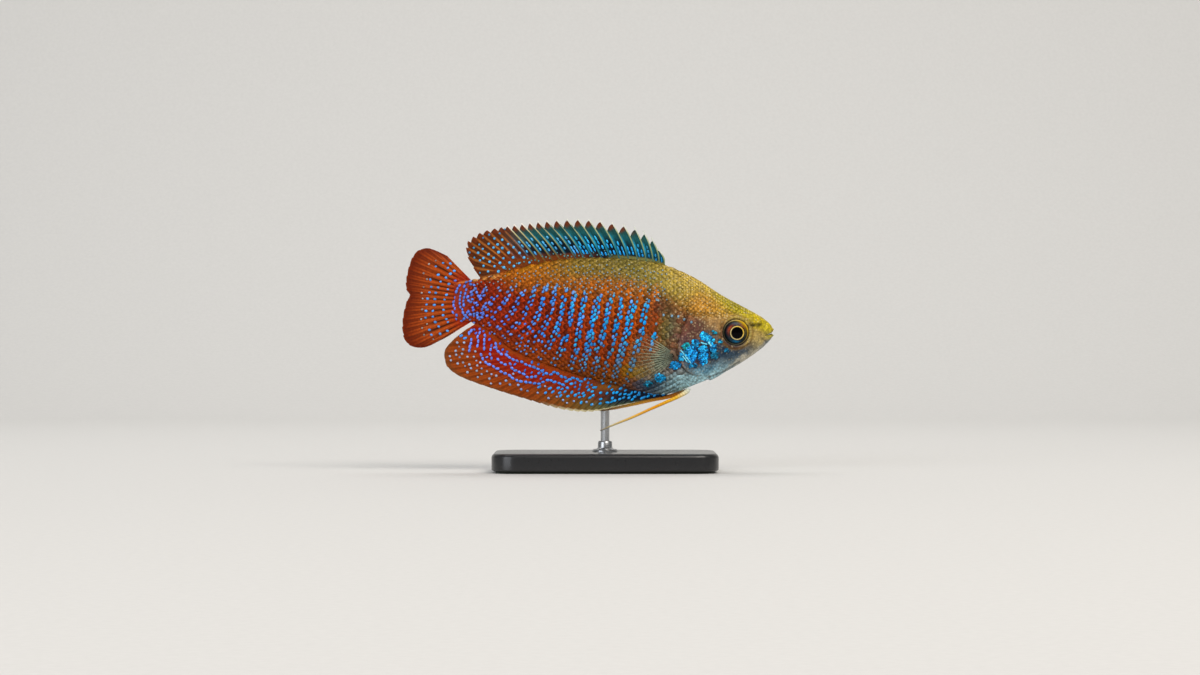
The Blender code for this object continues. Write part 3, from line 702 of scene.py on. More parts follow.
# Painted shade darkens the inside of the mouth and the creases round the lips
dark = np.broadcast_to(painted_shade, rings.shape[:2])[..., None]
tints = tints * (1 - dark) + np.array(linear(MOUTH_SHADE)) * dark
tints = with_flecks(rings[..., 0], rings[..., 2], tints)
rings = rings + outward(rings) * (relief(rings[..., 0], rings[..., 2]) * modelled)[..., None]
points, faces, corner_map = closed_grid(place(rings))
tints = np.concatenate([tints.reshape(-1, 4), [tints[0].mean(0), tints[-1].mean(0)]])
# Skin pigment sits in grains of about half a millimetre, which give the head its salt and
# pepper look. Varnish leaves a soft shine.
flesh = painted_resin("airbrushed_resin_skin", 0.42, 0.3)
skin = new_piece("fish_skin", points, faces, flesh, corner_map, tints, sharp=80.0)
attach(skin, "root")
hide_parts("head", "body", "tail_stalk")


# Scales. About thirty scales in a row, in staggered rows, lie like roof tiles from the gill
# cover to the tail, and smaller ones cover the nape. Each is a thin cast plate, fixed at its
# front edge and raised at its rear one, and is airbrushed in the colour of its place.
SCALE_COLUMN, SCALE_ROW = 0.74, 1.3
SCALE_HALVES = (1.04, 0.80)
SCALE_LIFT = 0.11
SCALE_SPREAD = (19.0, 64.0)
SCALE_END = 62.0
NAPE_COLUMN, NAPE_ROW = 0.5, 0.86
NAPE_HALVES = (0.66, 0.53)
NAPE_LIFT = 0.055
NAPE_SPREAD = (5.5, 20.5)
NAPE_LOW = 1.6
SCALE_SIDES = 10
SCALE_SHADES = 0.15
SCALE_SEED = 11
PATCH = 0.003


def angle_at(distance, height):
    """The angle round the skin's section, on the left side, at a height."""
    middle = between(BODY, distance, 2)
    over = height >= middle
    edge = np.where(over, between(BODY, distance, 1), between(BODY, distance, 3))
    return np.arcsin(np.clip((height - middle) / np.abs(edge - middle), -0.995, 0.995))


def skin_frames(distance, angle):
    """Places of the finished skin, and the directions out of it and along it to the tail."""
    spot = skin_at(distance, angle)
    along = skin_at(distance + 0.05, angle) - skin_at(distance - 0.05, angle)
    around = skin_at(distance, angle + 0.01) - skin_at(distance, angle - 0.01)
    out = np.cross(along, around)
    inner = np.stack([0 * distance, spot[:, 1], spot[:, 2] - between(BODY, distance, 2)], -1)
    out *= np.sign(np.einsum("ij,ij->i", out, inner))[:, None]
    out /= np.linalg.norm(out, axis=1, keepdims=True)
    along /= np.linalg.norm(along, axis=1, keepdims=True)
    return spot + out * relief(spot[:, 0], spot[:, 2])[:, None], out, along


def solid_shape(name, rings, bottom, top, edges):
    """A small closed shape of rings of places between two tips, with how near its edge each is."""
    rings = np.asarray(rings, float)
    count, around = rings.shape[:2]
    points = np.concatenate([rings.reshape(-1, 3), [top, bottom]])
    faces = []
    for j in range(around):
        beside = (j + 1) % around
        faces.append((j, beside, count * around))
        last = (count - 1) * around
        faces.append((last + beside, last + j, count * around + 1))
        for i in range(count - 1):
            low, high = i * around, (i + 1) * around
            faces.append((low + beside, low + j, high + j, high + beside))
    mesh = bpy.data.meshes.new(name)
    mesh.from_pydata(points.tolist(), [], faces)
    mesh.shade_smooth()
    layer = mesh.attributes.new("edge", "FLOAT", "POINT")
    layer.data.foreach_set("value", np.asarray(edges, np.float32))
    layer = mesh.attributes.new("patch", "FLOAT_VECTOR", "POINT")
    flat = points * (0.5, 0.5, 0) / np.abs(points[:, :2]).max()
    layer.data.foreach_set("vector", flat.astype(np.float32).ravel())
    return bpy.data.objects.new(name, mesh)


def planting_tree():
    """Geometry Nodes that set a shape on each root, in its direction, size and colour."""
    tree = bpy.data.node_groups.new("plant_on_roots", "GeometryNodeTree")
    for name, kind in (
        ("Roots", "NodeSocketGeometry"),
        ("Shape", "NodeSocketObject"),
        ("Finish", "NodeSocketMaterial"),
        ("Patch", "NodeSocketFloat"),
    ):
        tree.interface.new_socket(name, in_out="INPUT", socket_type=kind)
    tree.interface.new_socket("Planted", in_out="OUTPUT", socket_type="NodeSocketGeometry")
    given = add(tree, "NodeGroupInput").outputs
    read = {}
    for name in ("out", "lie", "size", "spot", "patch"):
        node = add(
            tree, "GeometryNodeInputNamedAttribute", {"Name": name}, data_type="FLOAT_VECTOR"
        )
        read[name] = node.outputs["Attribute"]
    turn = add(
        tree,
        "FunctionNodeAxesToRotation",
        {"Primary Axis": read["out"], "Secondary Axis": read["lie"]},
        primary_axis="Z",
        secondary_axis="X",
    )
    shape = add(tree, "GeometryNodeObjectInfo", {"Object": given["Shape"]})
    planted = add(
        tree,
        "GeometryNodeInstanceOnPoints",
        {
            "Points": given["Roots"],
            "Instance": shape.outputs["Geometry"],
            "Rotation": turn.outputs[0],
            "Scale": read["size"],
        },
    )
    real = add(tree, "GeometryNodeRealizeInstances", {"Geometry": planted.outputs[0]})
    reach = add(
        tree,
        "ShaderNodeVectorMath",
        {0: read["patch"], "Scale": given["Patch"]},
        operation="SCALE",
    )
    spot = add(tree, "ShaderNodeVectorMath", {0: read["spot"], 1: reach.outputs[0]})
    mapped = add(
        tree,
        "GeometryNodeStoreNamedAttribute",
        {"Geometry": real.outputs[0], "Name": "OFBake"},
        data_type="FLOAT2",
        domain="CORNER",
    )
    tree.links.new(spot.outputs[0], mapped.inputs["Value"])
    dressed = add(
        tree,
        "GeometryNodeSetMaterial",
        {"Geometry": mapped.outputs[0], "Material": given["Finish"]},
    )
    end = add(tree, "NodeGroupOutput")
    tree.links.new(dressed.outputs[0], end.inputs[0])
    return tree


PLANTING = planting_tree()


def carrier_of(name, points, edges, attributes):
    """An object of bare points and edges that carries attributes into Geometry Nodes."""
    mesh = bpy.data.meshes.new(name)
    mesh.from_pydata(np.asarray(points).tolist(), edges, [])
    for key, values in attributes.items():
        values = np.asarray(values, np.float32)
        if key == "tint":
            if values.shape[1] == 3:
                values = np.concatenate([values, np.ones((len(values), 1))], axis=1)
            layer = mesh.attributes.new(key, "FLOAT_COLOR", "POINT")
            layer.data.foreach_set("color", values.astype(np.float32).ravel())
        elif values.ndim == 2:
            layer = mesh.attributes.new(key, "FLOAT_VECTOR", "POINT")
            layer.data.foreach_set("vector", values.ravel())
        else:
            layer = mesh.attributes.new(key, "FLOAT", "POINT")
            layer.data.foreach_set("value", values)
    carrier = bpy.data.objects.new(name, mesh)
    bpy.context.scene.collection.objects.link(carrier)
    return carrier


def grown(name, tree, carrier, unwanted, **given):
    """The plain mesh that a node tree makes of its carrier, as a piece of its own."""
    modifier = carrier.modifiers.new("grow", "NODES")
    modifier.node_group = tree
    for socket in tree.interface.items_tree:
        if socket.in_out == "INPUT" and socket.name in given:
            modifier[socket.identifier] = given[socket.name]
    depsgraph = bpy.context.evaluated_depsgraph_get()
    mesh = bpy.data.meshes.new_from_object(
        carrier.evaluated_get(depsgraph), preserve_all_data_layers=True, depsgraph=depsgraph
    )
    carrier.modifiers.remove(modifier)
    bpy.data.objects.remove(carrier)
    mesh.name = name
    for key in unwanted:
        if key in mesh.attributes:
            mesh.attributes.remove(mesh.attributes[key])
    made = bpy.data.objects.new(name, mesh)
    bpy.context.scene.collection.objects.link(made)
    return made


def planted(name, shape, material, spots, out, lie, sizes, tints, map_places):
    """A piece of one shape set at many places of the fish."""
    turned = np.array((-1.0, 1.0, 1.0))
    attributes = {
        "out": out * turned,
        "lie": lie * turned,
        "size": np.asarray(sizes) * MM,
        "tint": tints,
        "spot": np.concatenate([map_places, np.zeros((len(spots), 1))], axis=1),
    }
    carrier = carrier_of(name + "_roots", place(spots), [], attributes)
    unwanted = ("out", "lie", "size", "spot", "patch")
    return grown(
        name, PLANTING, carrier, unwanted, Shape=shape, Finish=material, Patch=PATCH
    )


def skin_map(distance, angle):
    """Where places of the skin are on its unwrap, whose seam is under the belly."""
    turn = (angle / (2 * math.pi) + 0.25) % 1.0
    return np.stack([0.02 + 0.95 * distance / 66.0, 0.01 + 0.98 * turn], -1)


def scale_lattice(start, end, column, row):
    """Staggered places for scales on the left side, as distances and angles."""
    distances, angles = [], []
    sweep = np.linspace(0, math.pi / 2, 60)
    for k, distance in enumerate(np.arange(start, end, column)):
        for way in (1, -1):
            line = skin_at(np.full(60, distance), sweep * way)
            arc = np.cumsum(np.linalg.norm(np.diff(line, axis=0, prepend=line[:1]), axis=1))
            first = 0.0 if k % 2 == 0 else row / 2
            if way < 0:
                first = row if k % 2 == 0 else row / 2
            for reach in np.arange(first, arc[-1] - 0.15 * row, row):
                distances.append(distance)
                angles.append(way * float(np.interp(reach, arc, sweep)))
    return np.array(distances), np.array(angles)


ring = []
for a in np.arange(SCALE_SIDES) / SCALE_SIDES * 2 * math.pi:
    back = math.cos(a)
    rise = 0.3 + 0.7 * max(back, 0) - 0.75 * max(-back, 0) - 0.42 * math.sin(a) ** 2
    ring.append((back, math.sin(a), rise, 0.25 + 0.75 * max(back, 0) ** 0.7))
ring = np.array(ring)
rings = [ring[:, :3], ring[:, :3] * (0.95, 0.95, 1) - (0, 0, 0.5)]
edges = [*ring[:, 3], *([1.0] * SCALE_SIDES), 0.0, 1.0]
scale_shape = solid_shape("scale_plate", rings, (0, 0, -1.2), (-0.15, 0, 0.5), edges)

# A scale is a plate with a darker, slightly sunk rim of pigment, which draws the net of scales
# over the flank, and it has the same grain and varnish as the skin.
scale_resin = painted_resin("airbrushed_resin_scales", 0.42, 0.34, rim_dark=0.74)
random = np.random.default_rng(SCALE_SEED)
sets = []
distance, angle = scale_lattice(*SCALE_SPREAD, SCALE_COLUMN, SCALE_ROW)
height = skin_at(distance, angle)[:, 2]
kept = behind_gill(distance, height) > 0.55
kept &= distance < SCALE_END
distance, angle, height = distance[kept], angle[kept], height[kept]
front = fade(0.4, 3.0, behind_gill(distance, height))
near = 1 - fade(2.0, 5.0, height) * (1 - front)
tail = fade(SCALE_END + 0.5, SCALE_END - 5, distance)
trunk_sizes = np.stack([0.45 + 0.55 * tail, 0.45 + 0.55 * tail, 0.15 + 0.85 * tail * near], -1)
sets.append((distance, angle, trunk_sizes * (*SCALE_HALVES, SCALE_LIFT)))
distance, angle = scale_lattice(*NAPE_SPREAD, NAPE_COLUMN, NAPE_ROW)
height = skin_at(distance, angle)[:, 2]
kept = (behind_gill(distance, height) < 0.9) & (height > NAPE_LOW) & (angle > 0)
kept &= np.hypot(distance - EYE_PLACE[0], height - EYE_PLACE[1]) > 4.0
distance, angle, height = distance[kept], angle[kept], height[kept]
lift = fade(NAPE_SPREAD[0], NAPE_SPREAD[0] + 4, distance) * fade(0.9, -0.9, behind_gill(distance, height))
lift = lift * fade(NAPE_LOW, NAPE_LOW + 3, height)
round_off = 0.5 + 0.5 * fade(0, 0.4, lift)
nape_sizes = np.stack([round_off, round_off, 0.12 + 0.88 * lift], -1)
sets.append((distance, angle, nape_sizes * (*NAPE_HALVES, NAPE_LIFT)))
for side in ("left", "right"):
    distance = np.concatenate([entry[0] for entry in sets])
    angle = np.concatenate([entry[1] for entry in sets])
    angle = angle if side == "left" else math.pi - angle
    sizes = np.concatenate([entry[2] for entry in sets])
    spots, out, along = skin_frames(distance, angle)
    spots = spots + out * 0.02
    tints = flesh_tint(spots[:, 0], spots[:, 2])
    shades = 1 + random.uniform(-SCALE_SHADES, SCALE_SHADES, len(tints))
    tints = with_flecks(spots[:, 0], spots[:, 2], tints * shades[:, None])
    at_map = skin_map(distance, angle)
    scales = planted(
        f"scales_{side}", scale_shape, scale_resin, spots, out, along, sizes, tints, at_map
    )
    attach(scales, "root")


# Iridescent spots of the flank. In life they are cells in the scales that mirror blue light,
# in some sixteen leaning bars of two columns. On the model each spot is a raised bead of
# pearl lacquer with a dark rim, set on its scale; paler and smaller dots run up to the back.
BEAD_SIDES = 8
BEAD_RISE = 0.3
BEAD_LIFT = 0.06
BAR_COUNT = 17
WIDE_BARS = (2, 5)
COLUMN_APART = 0.118
BEAD_PITCH = (1.08, 0.98)
BEAD_FRONT, BEAD_REAR = (0.46, 0.33), (0.38, 0.28)
BEAD_MISSING = 0.08
DOT_PITCH = 1.05
DOT_SIZE = 0.22
BEAD_SEED = 5
# Bead colours at distances behind the snout
BEAD_STOPS = (22.0, 33.0, 42.0, 52.0, 60.0)
BEAD_COLOURS = ("#0a98dc", "#1294e8", "#2890ee", "#468cf2", "#6282f2")
DOT_COLOUR = "#86a0ac"
# Small pale spots behind the gill cover
LOOSE_SPOTS = (
    (22.5, 2.0),
    (20.8, 1.8),
    (19.5, 1.7),
    (18.3, 1.1),
    (16.9, 0.5),
    (23.9, 5.1),
    (24.0, 0.2),
    (23.9, -2.5),
)


def ring_of(radius, height, sides=BEAD_SIDES):
    """A flat ring of places, for the small shapes."""
    turn = np.arange(sides) / sides * 2 * math.pi
    return np.stack([radius * np.cos(turn), radius * np.sin(turn), np.full(sides, height)], -1)


def ramp(stops, codes, at):
    """Colours between stops along a line."""
    table = np.array([linear(code) for code in codes])
    return np.stack([np.interp(at, stops, table[:, c]) for c in range(3)], -1)


shape_rings = [ring_of(0.76, 0.8), ring_of(1.0, 0.15)]
bead_shape = solid_shape(
    "bead", shape_rings, (0, 0, -0.6), (0, 0, 1.0), [*[0.3] * 8, *[1.0] * 8, 0.0, 1.0]
)


def pearl_lacquer(name, rim, shine):
    """Pearl lacquer: the bead's own colour, bright in the middle and dark at its rim."""
    material, tree, shader = new_material(
        name, Roughness=0.32, IOR=1.28, Metallic=0.2, Coat_Weight=0.06, Coat_Roughness=0.12
    )
    where = add(tree, "ShaderNodeTexCoord").outputs["Object"]
    tint = add(tree, "ShaderNodeAttribute", attribute_name="tint").outputs["Color"]
    edge = add(tree, "ShaderNodeAttribute", attribute_name="edge").outputs["Fac"]
    flakes = add(
        tree,
        "ShaderNodeTexNoise",
        {"Vector": where, "Scale": 1 / (0.35 * MM), "Detail": 3.0, "Roughness": 0.6},
    )
    glint = add(
        tree, "ShaderNodeMapRange", {"Value": flakes.outputs[0], 1: 0.3, 2: 0.7, 3: 0.75, 4: shine}
    )
    bright = add(
        tree, "ShaderNodeVectorMath", {0: tint, "Scale": glint.outputs[0]}, operation="SCALE"
    )
    ring = add(tree, "ShaderNodeMapRange", {"Value": edge, 1: 0.5, 2: 1.0, 3: 0.0, 4: 1.0})
    colour = add(
        tree,
        "ShaderNodeMix",
        {"Factor": ring.outputs[0], "A": bright.outputs[0], "B": (*linear(rim), 1)},
        data_type="RGBA",
    )
    tree.links.new(colour.outputs["Result"], shader.inputs["Base Color"])
    return material


# The spots mirror light through a clear layer, so their lacquer is part metallic, smooth and
# coated. Its flakes vary the shine within a spot.
pearl = pearl_lacquer("pearl_lacquer_spots", "#2a1410", 1.3)
random = np.random.default_rng(BEAD_SEED)
rows = []


def bars_top(distance):
    """How far up the flank the bars reach, as a share of its height."""
    return 0.7 + 0.12 * fade(36, 54, distance) + 0.015 * np.sin(2.6 * distance)


for number in np.arange(0, BAR_COUNT, 1):
    columns = (-1, 1) if number not in WIDE_BARS else (-1.7, 0, 1.7)
    pitch = BEAD_PITCH[0] + (BEAD_PITCH[1] - BEAD_PITCH[0]) * fade(4, 9, number)
    for k, column in enumerate(columns):
        for height in np.arange(9.0, -12.5, -pitch) - (k % 2) * pitch / 2:
            apart = COLUMN_APART + 0.05 * fade(6, 11, number) * fade(4.0, -2.0, height)
            distance = float(bar_distance(number + column * apart, height))
            top, bottom = between(BODY, distance, 1), between(BODY, distance, 3)
            share = (height - bottom) / (top - bottom)
            if distance > 62.5 or share < 0.015 or share > bars_top(distance):
                continue
            if number == 0 and not -6.5 < height < -1.5:
                continue
            if random.random() < BEAD_MISSING:
                continue
            rows.append((distance, height, share))
rows = np.array(rows)
rows[:, 0] += random.normal(0, 0.08, len(rows))
rows[:, 1] += random.normal(0, 0.12, len(rows))
dots = []
for k, distance in enumerate(np.arange(22.0, 62.0, 0.8)):
    for height in np.arange(2.0, 14.0, DOT_PITCH) + (k % 2) * DOT_PITCH / 2:
        top, bottom = between(BODY, distance, 1), between(BODY, distance, 3)
        share = (height - bottom) / (top - bottom)
        if bars_top(distance) < share < 0.95 and random.random() < 0.85:
            dots.append((distance, height, share))
# Small spots crowd the rear of the flank between its bars, and broaden the bars low down
extra = []
for far in np.arange(33.0, 62.0, 0.85):
    for high in np.arange(-12.6, 8.5, 0.85):
        spot = (far + random.normal(0, 0.16), high + random.normal(0, 0.16))
        top, bottom = between(BODY, spot[0], 1), between(BODY, spot[0], 3)
        share = (spot[1] - bottom) / (top - bottom)
        near = np.hypot(rows[:, 0] - spot[0], rows[:, 1] - spot[1]).min()
        low = fade(0.5, 0.3, share)
        between_bars = far > 47 and share < 0.75 and near > 0.95 - 0.2 * low
        beside_bars = far < 47 and share < 0.34 and 0.6 < near < 0.74
        if share < 0.02 or not (between_bars or beside_bars):
            continue
        if random.random() < 0.3 + 0.5 * low:
            extra.append((*spot, share))
extra = np.array(extra)
dots = np.array(dots)
dots[:, :2] += random.normal(0, 0.16, (len(dots), 2))
for side in ("left", "right"):
    loose = np.array([(*spot, 0.7) for spot in LOOSE_SPOTS])
    distance, height, share = np.concatenate([rows, extra, dots, loose]).T
    angle = angle_at(distance, height)
    if side == "right":
        angle = math.pi - angle
    spots, out, along = skin_frames(distance, angle)
    spots = spots + out * BEAD_LIFT
    rear = fade(40, 54, distance)
    kinds = ((rows, 0.0), (extra, 0.4), (dots, 1.0), (loose, 0.6))
    small = np.concatenate([np.full(len(spots), value) for spots, value in kinds])
    pale = np.where(small == 0.4, 0.0, small)
    vary = random.uniform(0.82, 1.2, len(distance))
    long = (BEAD_FRONT[0] + (BEAD_REAR[0] - BEAD_FRONT[0]) * rear) * (1 - small) + DOT_SIZE * small
    wide = (BEAD_FRONT[1] + (BEAD_REAR[1] - BEAD_FRONT[1]) * rear) * (1 - small) + DOT_SIZE * small
    ends = fade(0.84, 0.7, share) * fade(0.08, 0.2, share)
    long = long * vary * (0.75 + 0.25 * ends) * 1.06
    wide = wide * vary * (0.8 + 0.2 * ends) * 1.02
    lean = 0.12 + 0.6 * rear + random.normal(0, 0.2, len(distance))
    upward = np.cross(out, along)
    upward *= np.sign(upward[:, 2])[:, None]
    lie = upward * np.cos(lean)[:, None] - along * np.sin(lean)[:, None]
    tints = ramp(BEAD_STOPS, BEAD_COLOURS, distance + random.normal(0, 2.0, len(distance)))
    cast = random.random((len(distance), 1))
    cyan = cast < 0.25 * fade(50, 40, distance)[:, None]
    tints = tints + (np.array(linear("#3cccf6")) - tints) * 0.45 * cyan
    tints = tints + (np.array(linear("#86a8f4")) - tints) * 0.45 * (cast > 0.8)
    pale = np.clip(pale + 0.55 * fade(0.6, 0.82, share), 0, 1)[:, None]
    low = fade(0.25, 0.1, share) + 1.3 * fade(0.42, 0.2, share) * fade(40, 30, distance)
    pale = np.maximum(pale, 0.35 * np.clip(low, 0, 1.7)[:, None])
    tints = tints * (1 - pale) + np.array(linear(DOT_COLOUR)) * pale
    tints = tints * random.uniform(0.7, 1.15, (len(distance), 1))
    tints = tints * (1 - 0.3 * fade(0.42, 0.2, share) * fade(44, 36, distance))[:, None]
    sizes = np.stack([long, wide, np.full(len(long), BEAD_RISE)], -1)
    sizes[:, 2] *= 1 - 0.45 * small
    at_map = skin_map(distance, angle)
    beads = planted(
        f"flank_spots_{side}", bead_shape, pearl, spots, out, lie, sizes, tints, at_map
    )
    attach(beads, "root")


# Blue plates of the cheek and the belly's edge. Skin over the gill cover's bone mirrors light
# in crowded, uneven flakes. On the model they are chips of pearl lacquer pressed into the
# skin at uneven tilts, so each catches the light in its own way.
FLAKE_SIDES = 7
FLAKE_SIZE = 0.4
FLAKE_SPACING = 0.33
FLAKE_TILT = 0.42
FLAKE_SEED = 23
# Distance, height, reach along and across, slope, and the colours that a plate varies between
PLATES = (
    (14.3, -2.3, 0.85, 0.8, -10, "#28c4fa", "#0a86cc"),
    (13.1, -3.1, 0.75, 0.8, 0, "#2cc8fa", "#0a70b0"),
    (12.3, -4.6, 0.62, 0.75, 10, "#1eb4f4", "#0a66a8"),
    (14.5, -4.9, 0.8, 0.75, 0, "#2ac4fc", "#0a86cc"),
    (14.4, -6.6, 0.9, 1.35, 5, "#22bcfa", "#0a78c8"),
    (17.0, -5.9, 1.1, 1.7, 6, "#1eb0f8", "#0a70bc"),
    (16.1, -3.7, 0.7, 0.7, 0, "#1eaeee", "#083e6a"),
    (18.0, -4.3, 0.62, 0.62, 0, "#28d4d4", "#0c7e90"),
    (18.4, -6.1, 0.62, 1.4, 38, "#2ab4e8", "#0a6ea4"),
    (16.6, -8.1, 0.8, 0.4, -10, "#2098d0", "#0c5c88"),
    (12.1, -6.2, 0.75, 0.6, -25, "#1a8cb4", "#0c4f6c"),
    (9.8, -5.2, 0.42, 0.36, 0, "#1786b4", "#0d5a80"),
    (11.1, -3.4, 0.4, 0.34, 0, "#18a8d0", "#0c7ca8"),
    (12.3, -1.6, 0.4, 0.36, 0, "#18a4c4", "#0c7c98"),
    (20.1, -8.2, 1.15, 0.75, -12, "#1ea4e8", "#0a70b4"),
    (23.2, -10.8, 1.1, 0.75, 10, "#1cb0ec", "#0a74b0"),
    (25.6, -11.9, 0.6, 0.55, 0, "#138cb4", "#0c5a78"),
)
# Painted glints: bright streaks of pale chips, from end to end
GLINT_STREAKS = (
    ((19.0, -5.1), (17.1, -7.5), "#84e0f6", 0.15),
    ((18.6, -6.3), (17.8, -7.3), "#8ce4f6", 0.12),
    ((14.9, -3.6), (13.8, -3.9), "#74d8f2", 0.17),
    ((13.4, -3.5), (12.9, -4.2), "#8ae0f4", 0.15),
)

turn = np.arange(FLAKE_SIDES) / FLAKE_SIDES * 2 * math.pi
uneven = 1 + 0.18 * np.sin(3 * turn + 0.7) + 0.1 * np.cos(2 * turn)
flat = np.stack([uneven * np.cos(turn), uneven * np.sin(turn), 0 * turn], -1)
shape_rings = [flat * (0.7, 0.7, 1) + (0, 0, 0.85), flat + (0, 0, 0.1)]
flake_shape = solid_shape(
    "flake", shape_rings, (0, 0, -0.7), (0.1, 0, 1.0), [*[0.3] * 7, *[1.0] * 7, 0.0, 1.0]
)
flake_pearl = pearl_lacquer("pearl_lacquer_chips", "#063450", 1.6)
random = np.random.default_rng(FLAKE_SEED)
rows = []
for far, high, long, wide, slope, light, dark in PLATES:
    lean = math.radians(slope)
    for k, x in enumerate(np.arange(-long, long + 0.01, FLAKE_SPACING * 0.87)):
        for y in np.arange(-wide, wide + 0.01, FLAKE_SPACING) + (k % 2) * FLAKE_SPACING / 2:
            if (x / long) ** 2 + (y / wide) ** 2 > 1.06:
                continue
            across = y + random.normal(0, 0.06)
            distance = far + x * math.cos(lean) - across * math.sin(lean)
            height = high + x * math.sin(lean) + across * math.cos(lean)
            mix = random.random() ** 1.3
            shade = np.array(linear(dark)) * (1 - mix) + np.array(linear(light)) * mix
            # Chips are painted brighter or darker at random; the brightest are painted glints
            shade = shade * random.choice((0.4, 0.8, 1.0, 1.3, 1.7))
            rows.append((distance, height, FLAKE_SIZE * random.uniform(0.55, 1.0), *shade))
for start, end, code, size in GLINT_STREAKS:
    for t in np.linspace(0, 1, 14):
        spot = np.array(start) * (1 - t) + np.array(end) * t
        rows.append((*spot, size, *linear(code)))
rows = np.array(rows)
for side in ("left", "right"):
    angle = angle_at(rows[:, 0], rows[:, 1])
    if side == "right":
        angle = math.pi - angle
    spots, out, along = skin_frames(rows[:, 0], angle)
    tilt = random.normal(0, FLAKE_TILT, (len(rows), 3)) * (rows[:, 2] > 0.18)[:, None]
    out = out + tilt
    out /= np.linalg.norm(out, axis=1, keepdims=True)
    lie = along + random.normal(0, 0.8, along.shape)
    size = rows[:, 2] * random.uniform(0.8, 1.2, len(rows))
    sizes = np.stack([size * 1.25, size, np.full(len(rows), 0.16)], -1)
    tints = rows[:, 3:]
    at_map = skin_map(rows[:, 0], angle)
    chips = planted(
        f"cheek_plates_{side}",
        flake_shape,
        flake_pearl,
        spots + out * np.where(rows[:, 2:3] > 0.18, 0.08, 0.24),
        out,
        lie,
        sizes,
        tints,
        at_map,
    )
    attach(chips, "root")


# Eyes. Each is a glass eye, as taxidermists use: a flattened ball, painted behind its clear
# front, that sits in the skin's socket. The iris is dark with a red-brown patch and a painted
# reflection over its top, between a thin gold ring round the pupil and a ring at its outer
# edge, gold at the upper front and elsewhere a pale painted highlight.
EYE_RADIUS = 2.8
EYE_DEPTH = 1.75
EYE_PROUD = 0.6
PUPIL = (-0.25, -0.12)
EYE_RINGS, EYE_ROUND = 72, 160


def eye_tint(x, y):
    """The painted colours of the eye, from places behind and above its middle."""
    away, ring = np.hypot(x, y), np.hypot(x - PUPIL[0], y - PUPIL[1])
    lean = np.arctan2(y, -x)
    tint = np.ones((*x.shape, 3)) * np.array(linear("#0a1a22"))

    def paint(code, cover):
        cover = np.clip(cover, 0, 1)[..., None]
        return tint * (1 - cover) + np.array(linear(code)) * cover

    def toward(degrees, spread):
        gap = np.angle(np.exp(1j * (lean - math.radians(degrees))))
        return np.exp(-((gap / math.radians(spread)) ** 2))

    # Painted reflection: a grey-blue sheen over the top of the iris
    tint = paint("#40525a", toward(95, 30) * bell(ring - 1.95, 0.36))
    tint = paint("#1c323c", toward(250, 55) * 0.8)
    tint = paint("#9c3a06", toward(150, 40) * bell(ring - 1.72, 0.34) * 0.9)
    tint = paint("#8a4a10", toward(38, 24) * bell(ring - 1.85, 0.35))
    tint = paint("#0f6a94", toward(268, 20) * bell(ring - 1.75, 0.3) * 0.9)
    tint = paint("#4a4a28", toward(0, 30) * bell(ring - 1.8, 0.4) * 0.7)
    fleck = np.sin(9 * lean + 4 * ring) * np.sin(14 * lean - 3 * ring)
    tint = tint * (1 + 0.22 * fleck * fade(1.4, 1.6, ring))[..., None]
    tint = paint("#050607", bell(ring - 1.5, 0.09) * 0.8)
    warm = np.clip(toward(35, 75) + 0.25, 0, 1)
    tint = paint("#d0c898", bell(ring - 1.32, 0.085) * 1.1)
    tint = paint("#f0c01c", bell(ring - 1.32, 0.09) * warm)
    tint = paint("#000000", 1 - fade(1.16, 1.26, ring))
    tint = paint("#b48c14", bell(away - 2.3, 0.24) * toward(52, 34) * 0.9)
    tint = paint("#0a1216", bell(away - 2.28, 0.13) * (1 - 0.85 * toward(52, 40)))
    # Painted highlight: the pale parts of the ring at the iris's outer edge, where the glass front meets
    # the rim
    tint = paint("#8a8468", bell(away - 2.48, 0.09) * toward(225, 80))
    tint = paint("#c8c49a", bell(away - 2.5, 0.1) * toward(100, 60))
    tint = paint("#d2a818", bell(away - 2.48, 0.14) * toward(42, 60) * 1.2)
    return paint("#0c0806", fade(2.62, 2.74, away))


# The glass is clear, hard and very smooth, over matte paint with fine flecks.
glass_eye, tree, shader = new_material("painted_glass_eye", Roughness=0.12, IOR=1.16)
where = add(tree, "ShaderNodeTexCoord").outputs["Object"]
tint = add(tree, "ShaderNodeAttribute", attribute_name="tint").outputs["Color"]
flecks = add(
    tree, "ShaderNodeTexNoise", {"Vector": where, "Scale": 1 / (0.25 * MM), "Detail": 3.0}
)
shade = add(tree, "ShaderNodeMapRange", {"Value": flecks.outputs[0], 1: 0.3, 2: 0.7, 3: 0.8, 4: 1.2})
painted = add(tree, "ShaderNodeVectorMath", {0: tint, "Scale": shade.outputs[0]}, operation="SCALE")
tree.links.new(painted.outputs[0], shader.inputs["Base Color"])

middle_side = float(half_width(np.array([EYE_PLACE[0]]), np.array([EYE_PLACE[1]]))[0])
middle_side += EYE_PROUD - EYE_DEPTH
for node, way in (("eye_l", 1.0), ("eye_r", -1.0)):
    turn = 2 * math.pi * np.arange(EYE_ROUND) / EYE_ROUND
    tilt = np.concatenate([np.linspace(0.01, 1.2, 60), np.linspace(1.25, math.pi - 0.05, 20)])
    radius = EYE_RADIUS * np.sin(tilt)[:, None]
    x, y = radius * np.cos(turn), radius * np.sin(turn)
    side = middle_side + EYE_DEPTH * np.cos(tilt)[:, None] * np.ones_like(turn)
    rings = np.stack([EYE_PLACE[0] + x, way * side, EYE_PLACE[1] + y], -1)
    tints = eye_tint(x, y)
    tints = np.concatenate([tints.reshape(-1, 3), [tints[0].mean(0), tints[-1].mean(0)]])
    points, faces, corner_map = closed_grid(place(rings))
    eye = new_piece("glass_" + node, points, faces, glass_eye, corner_map, tints)
    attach(eye, "root")
    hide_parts(node)


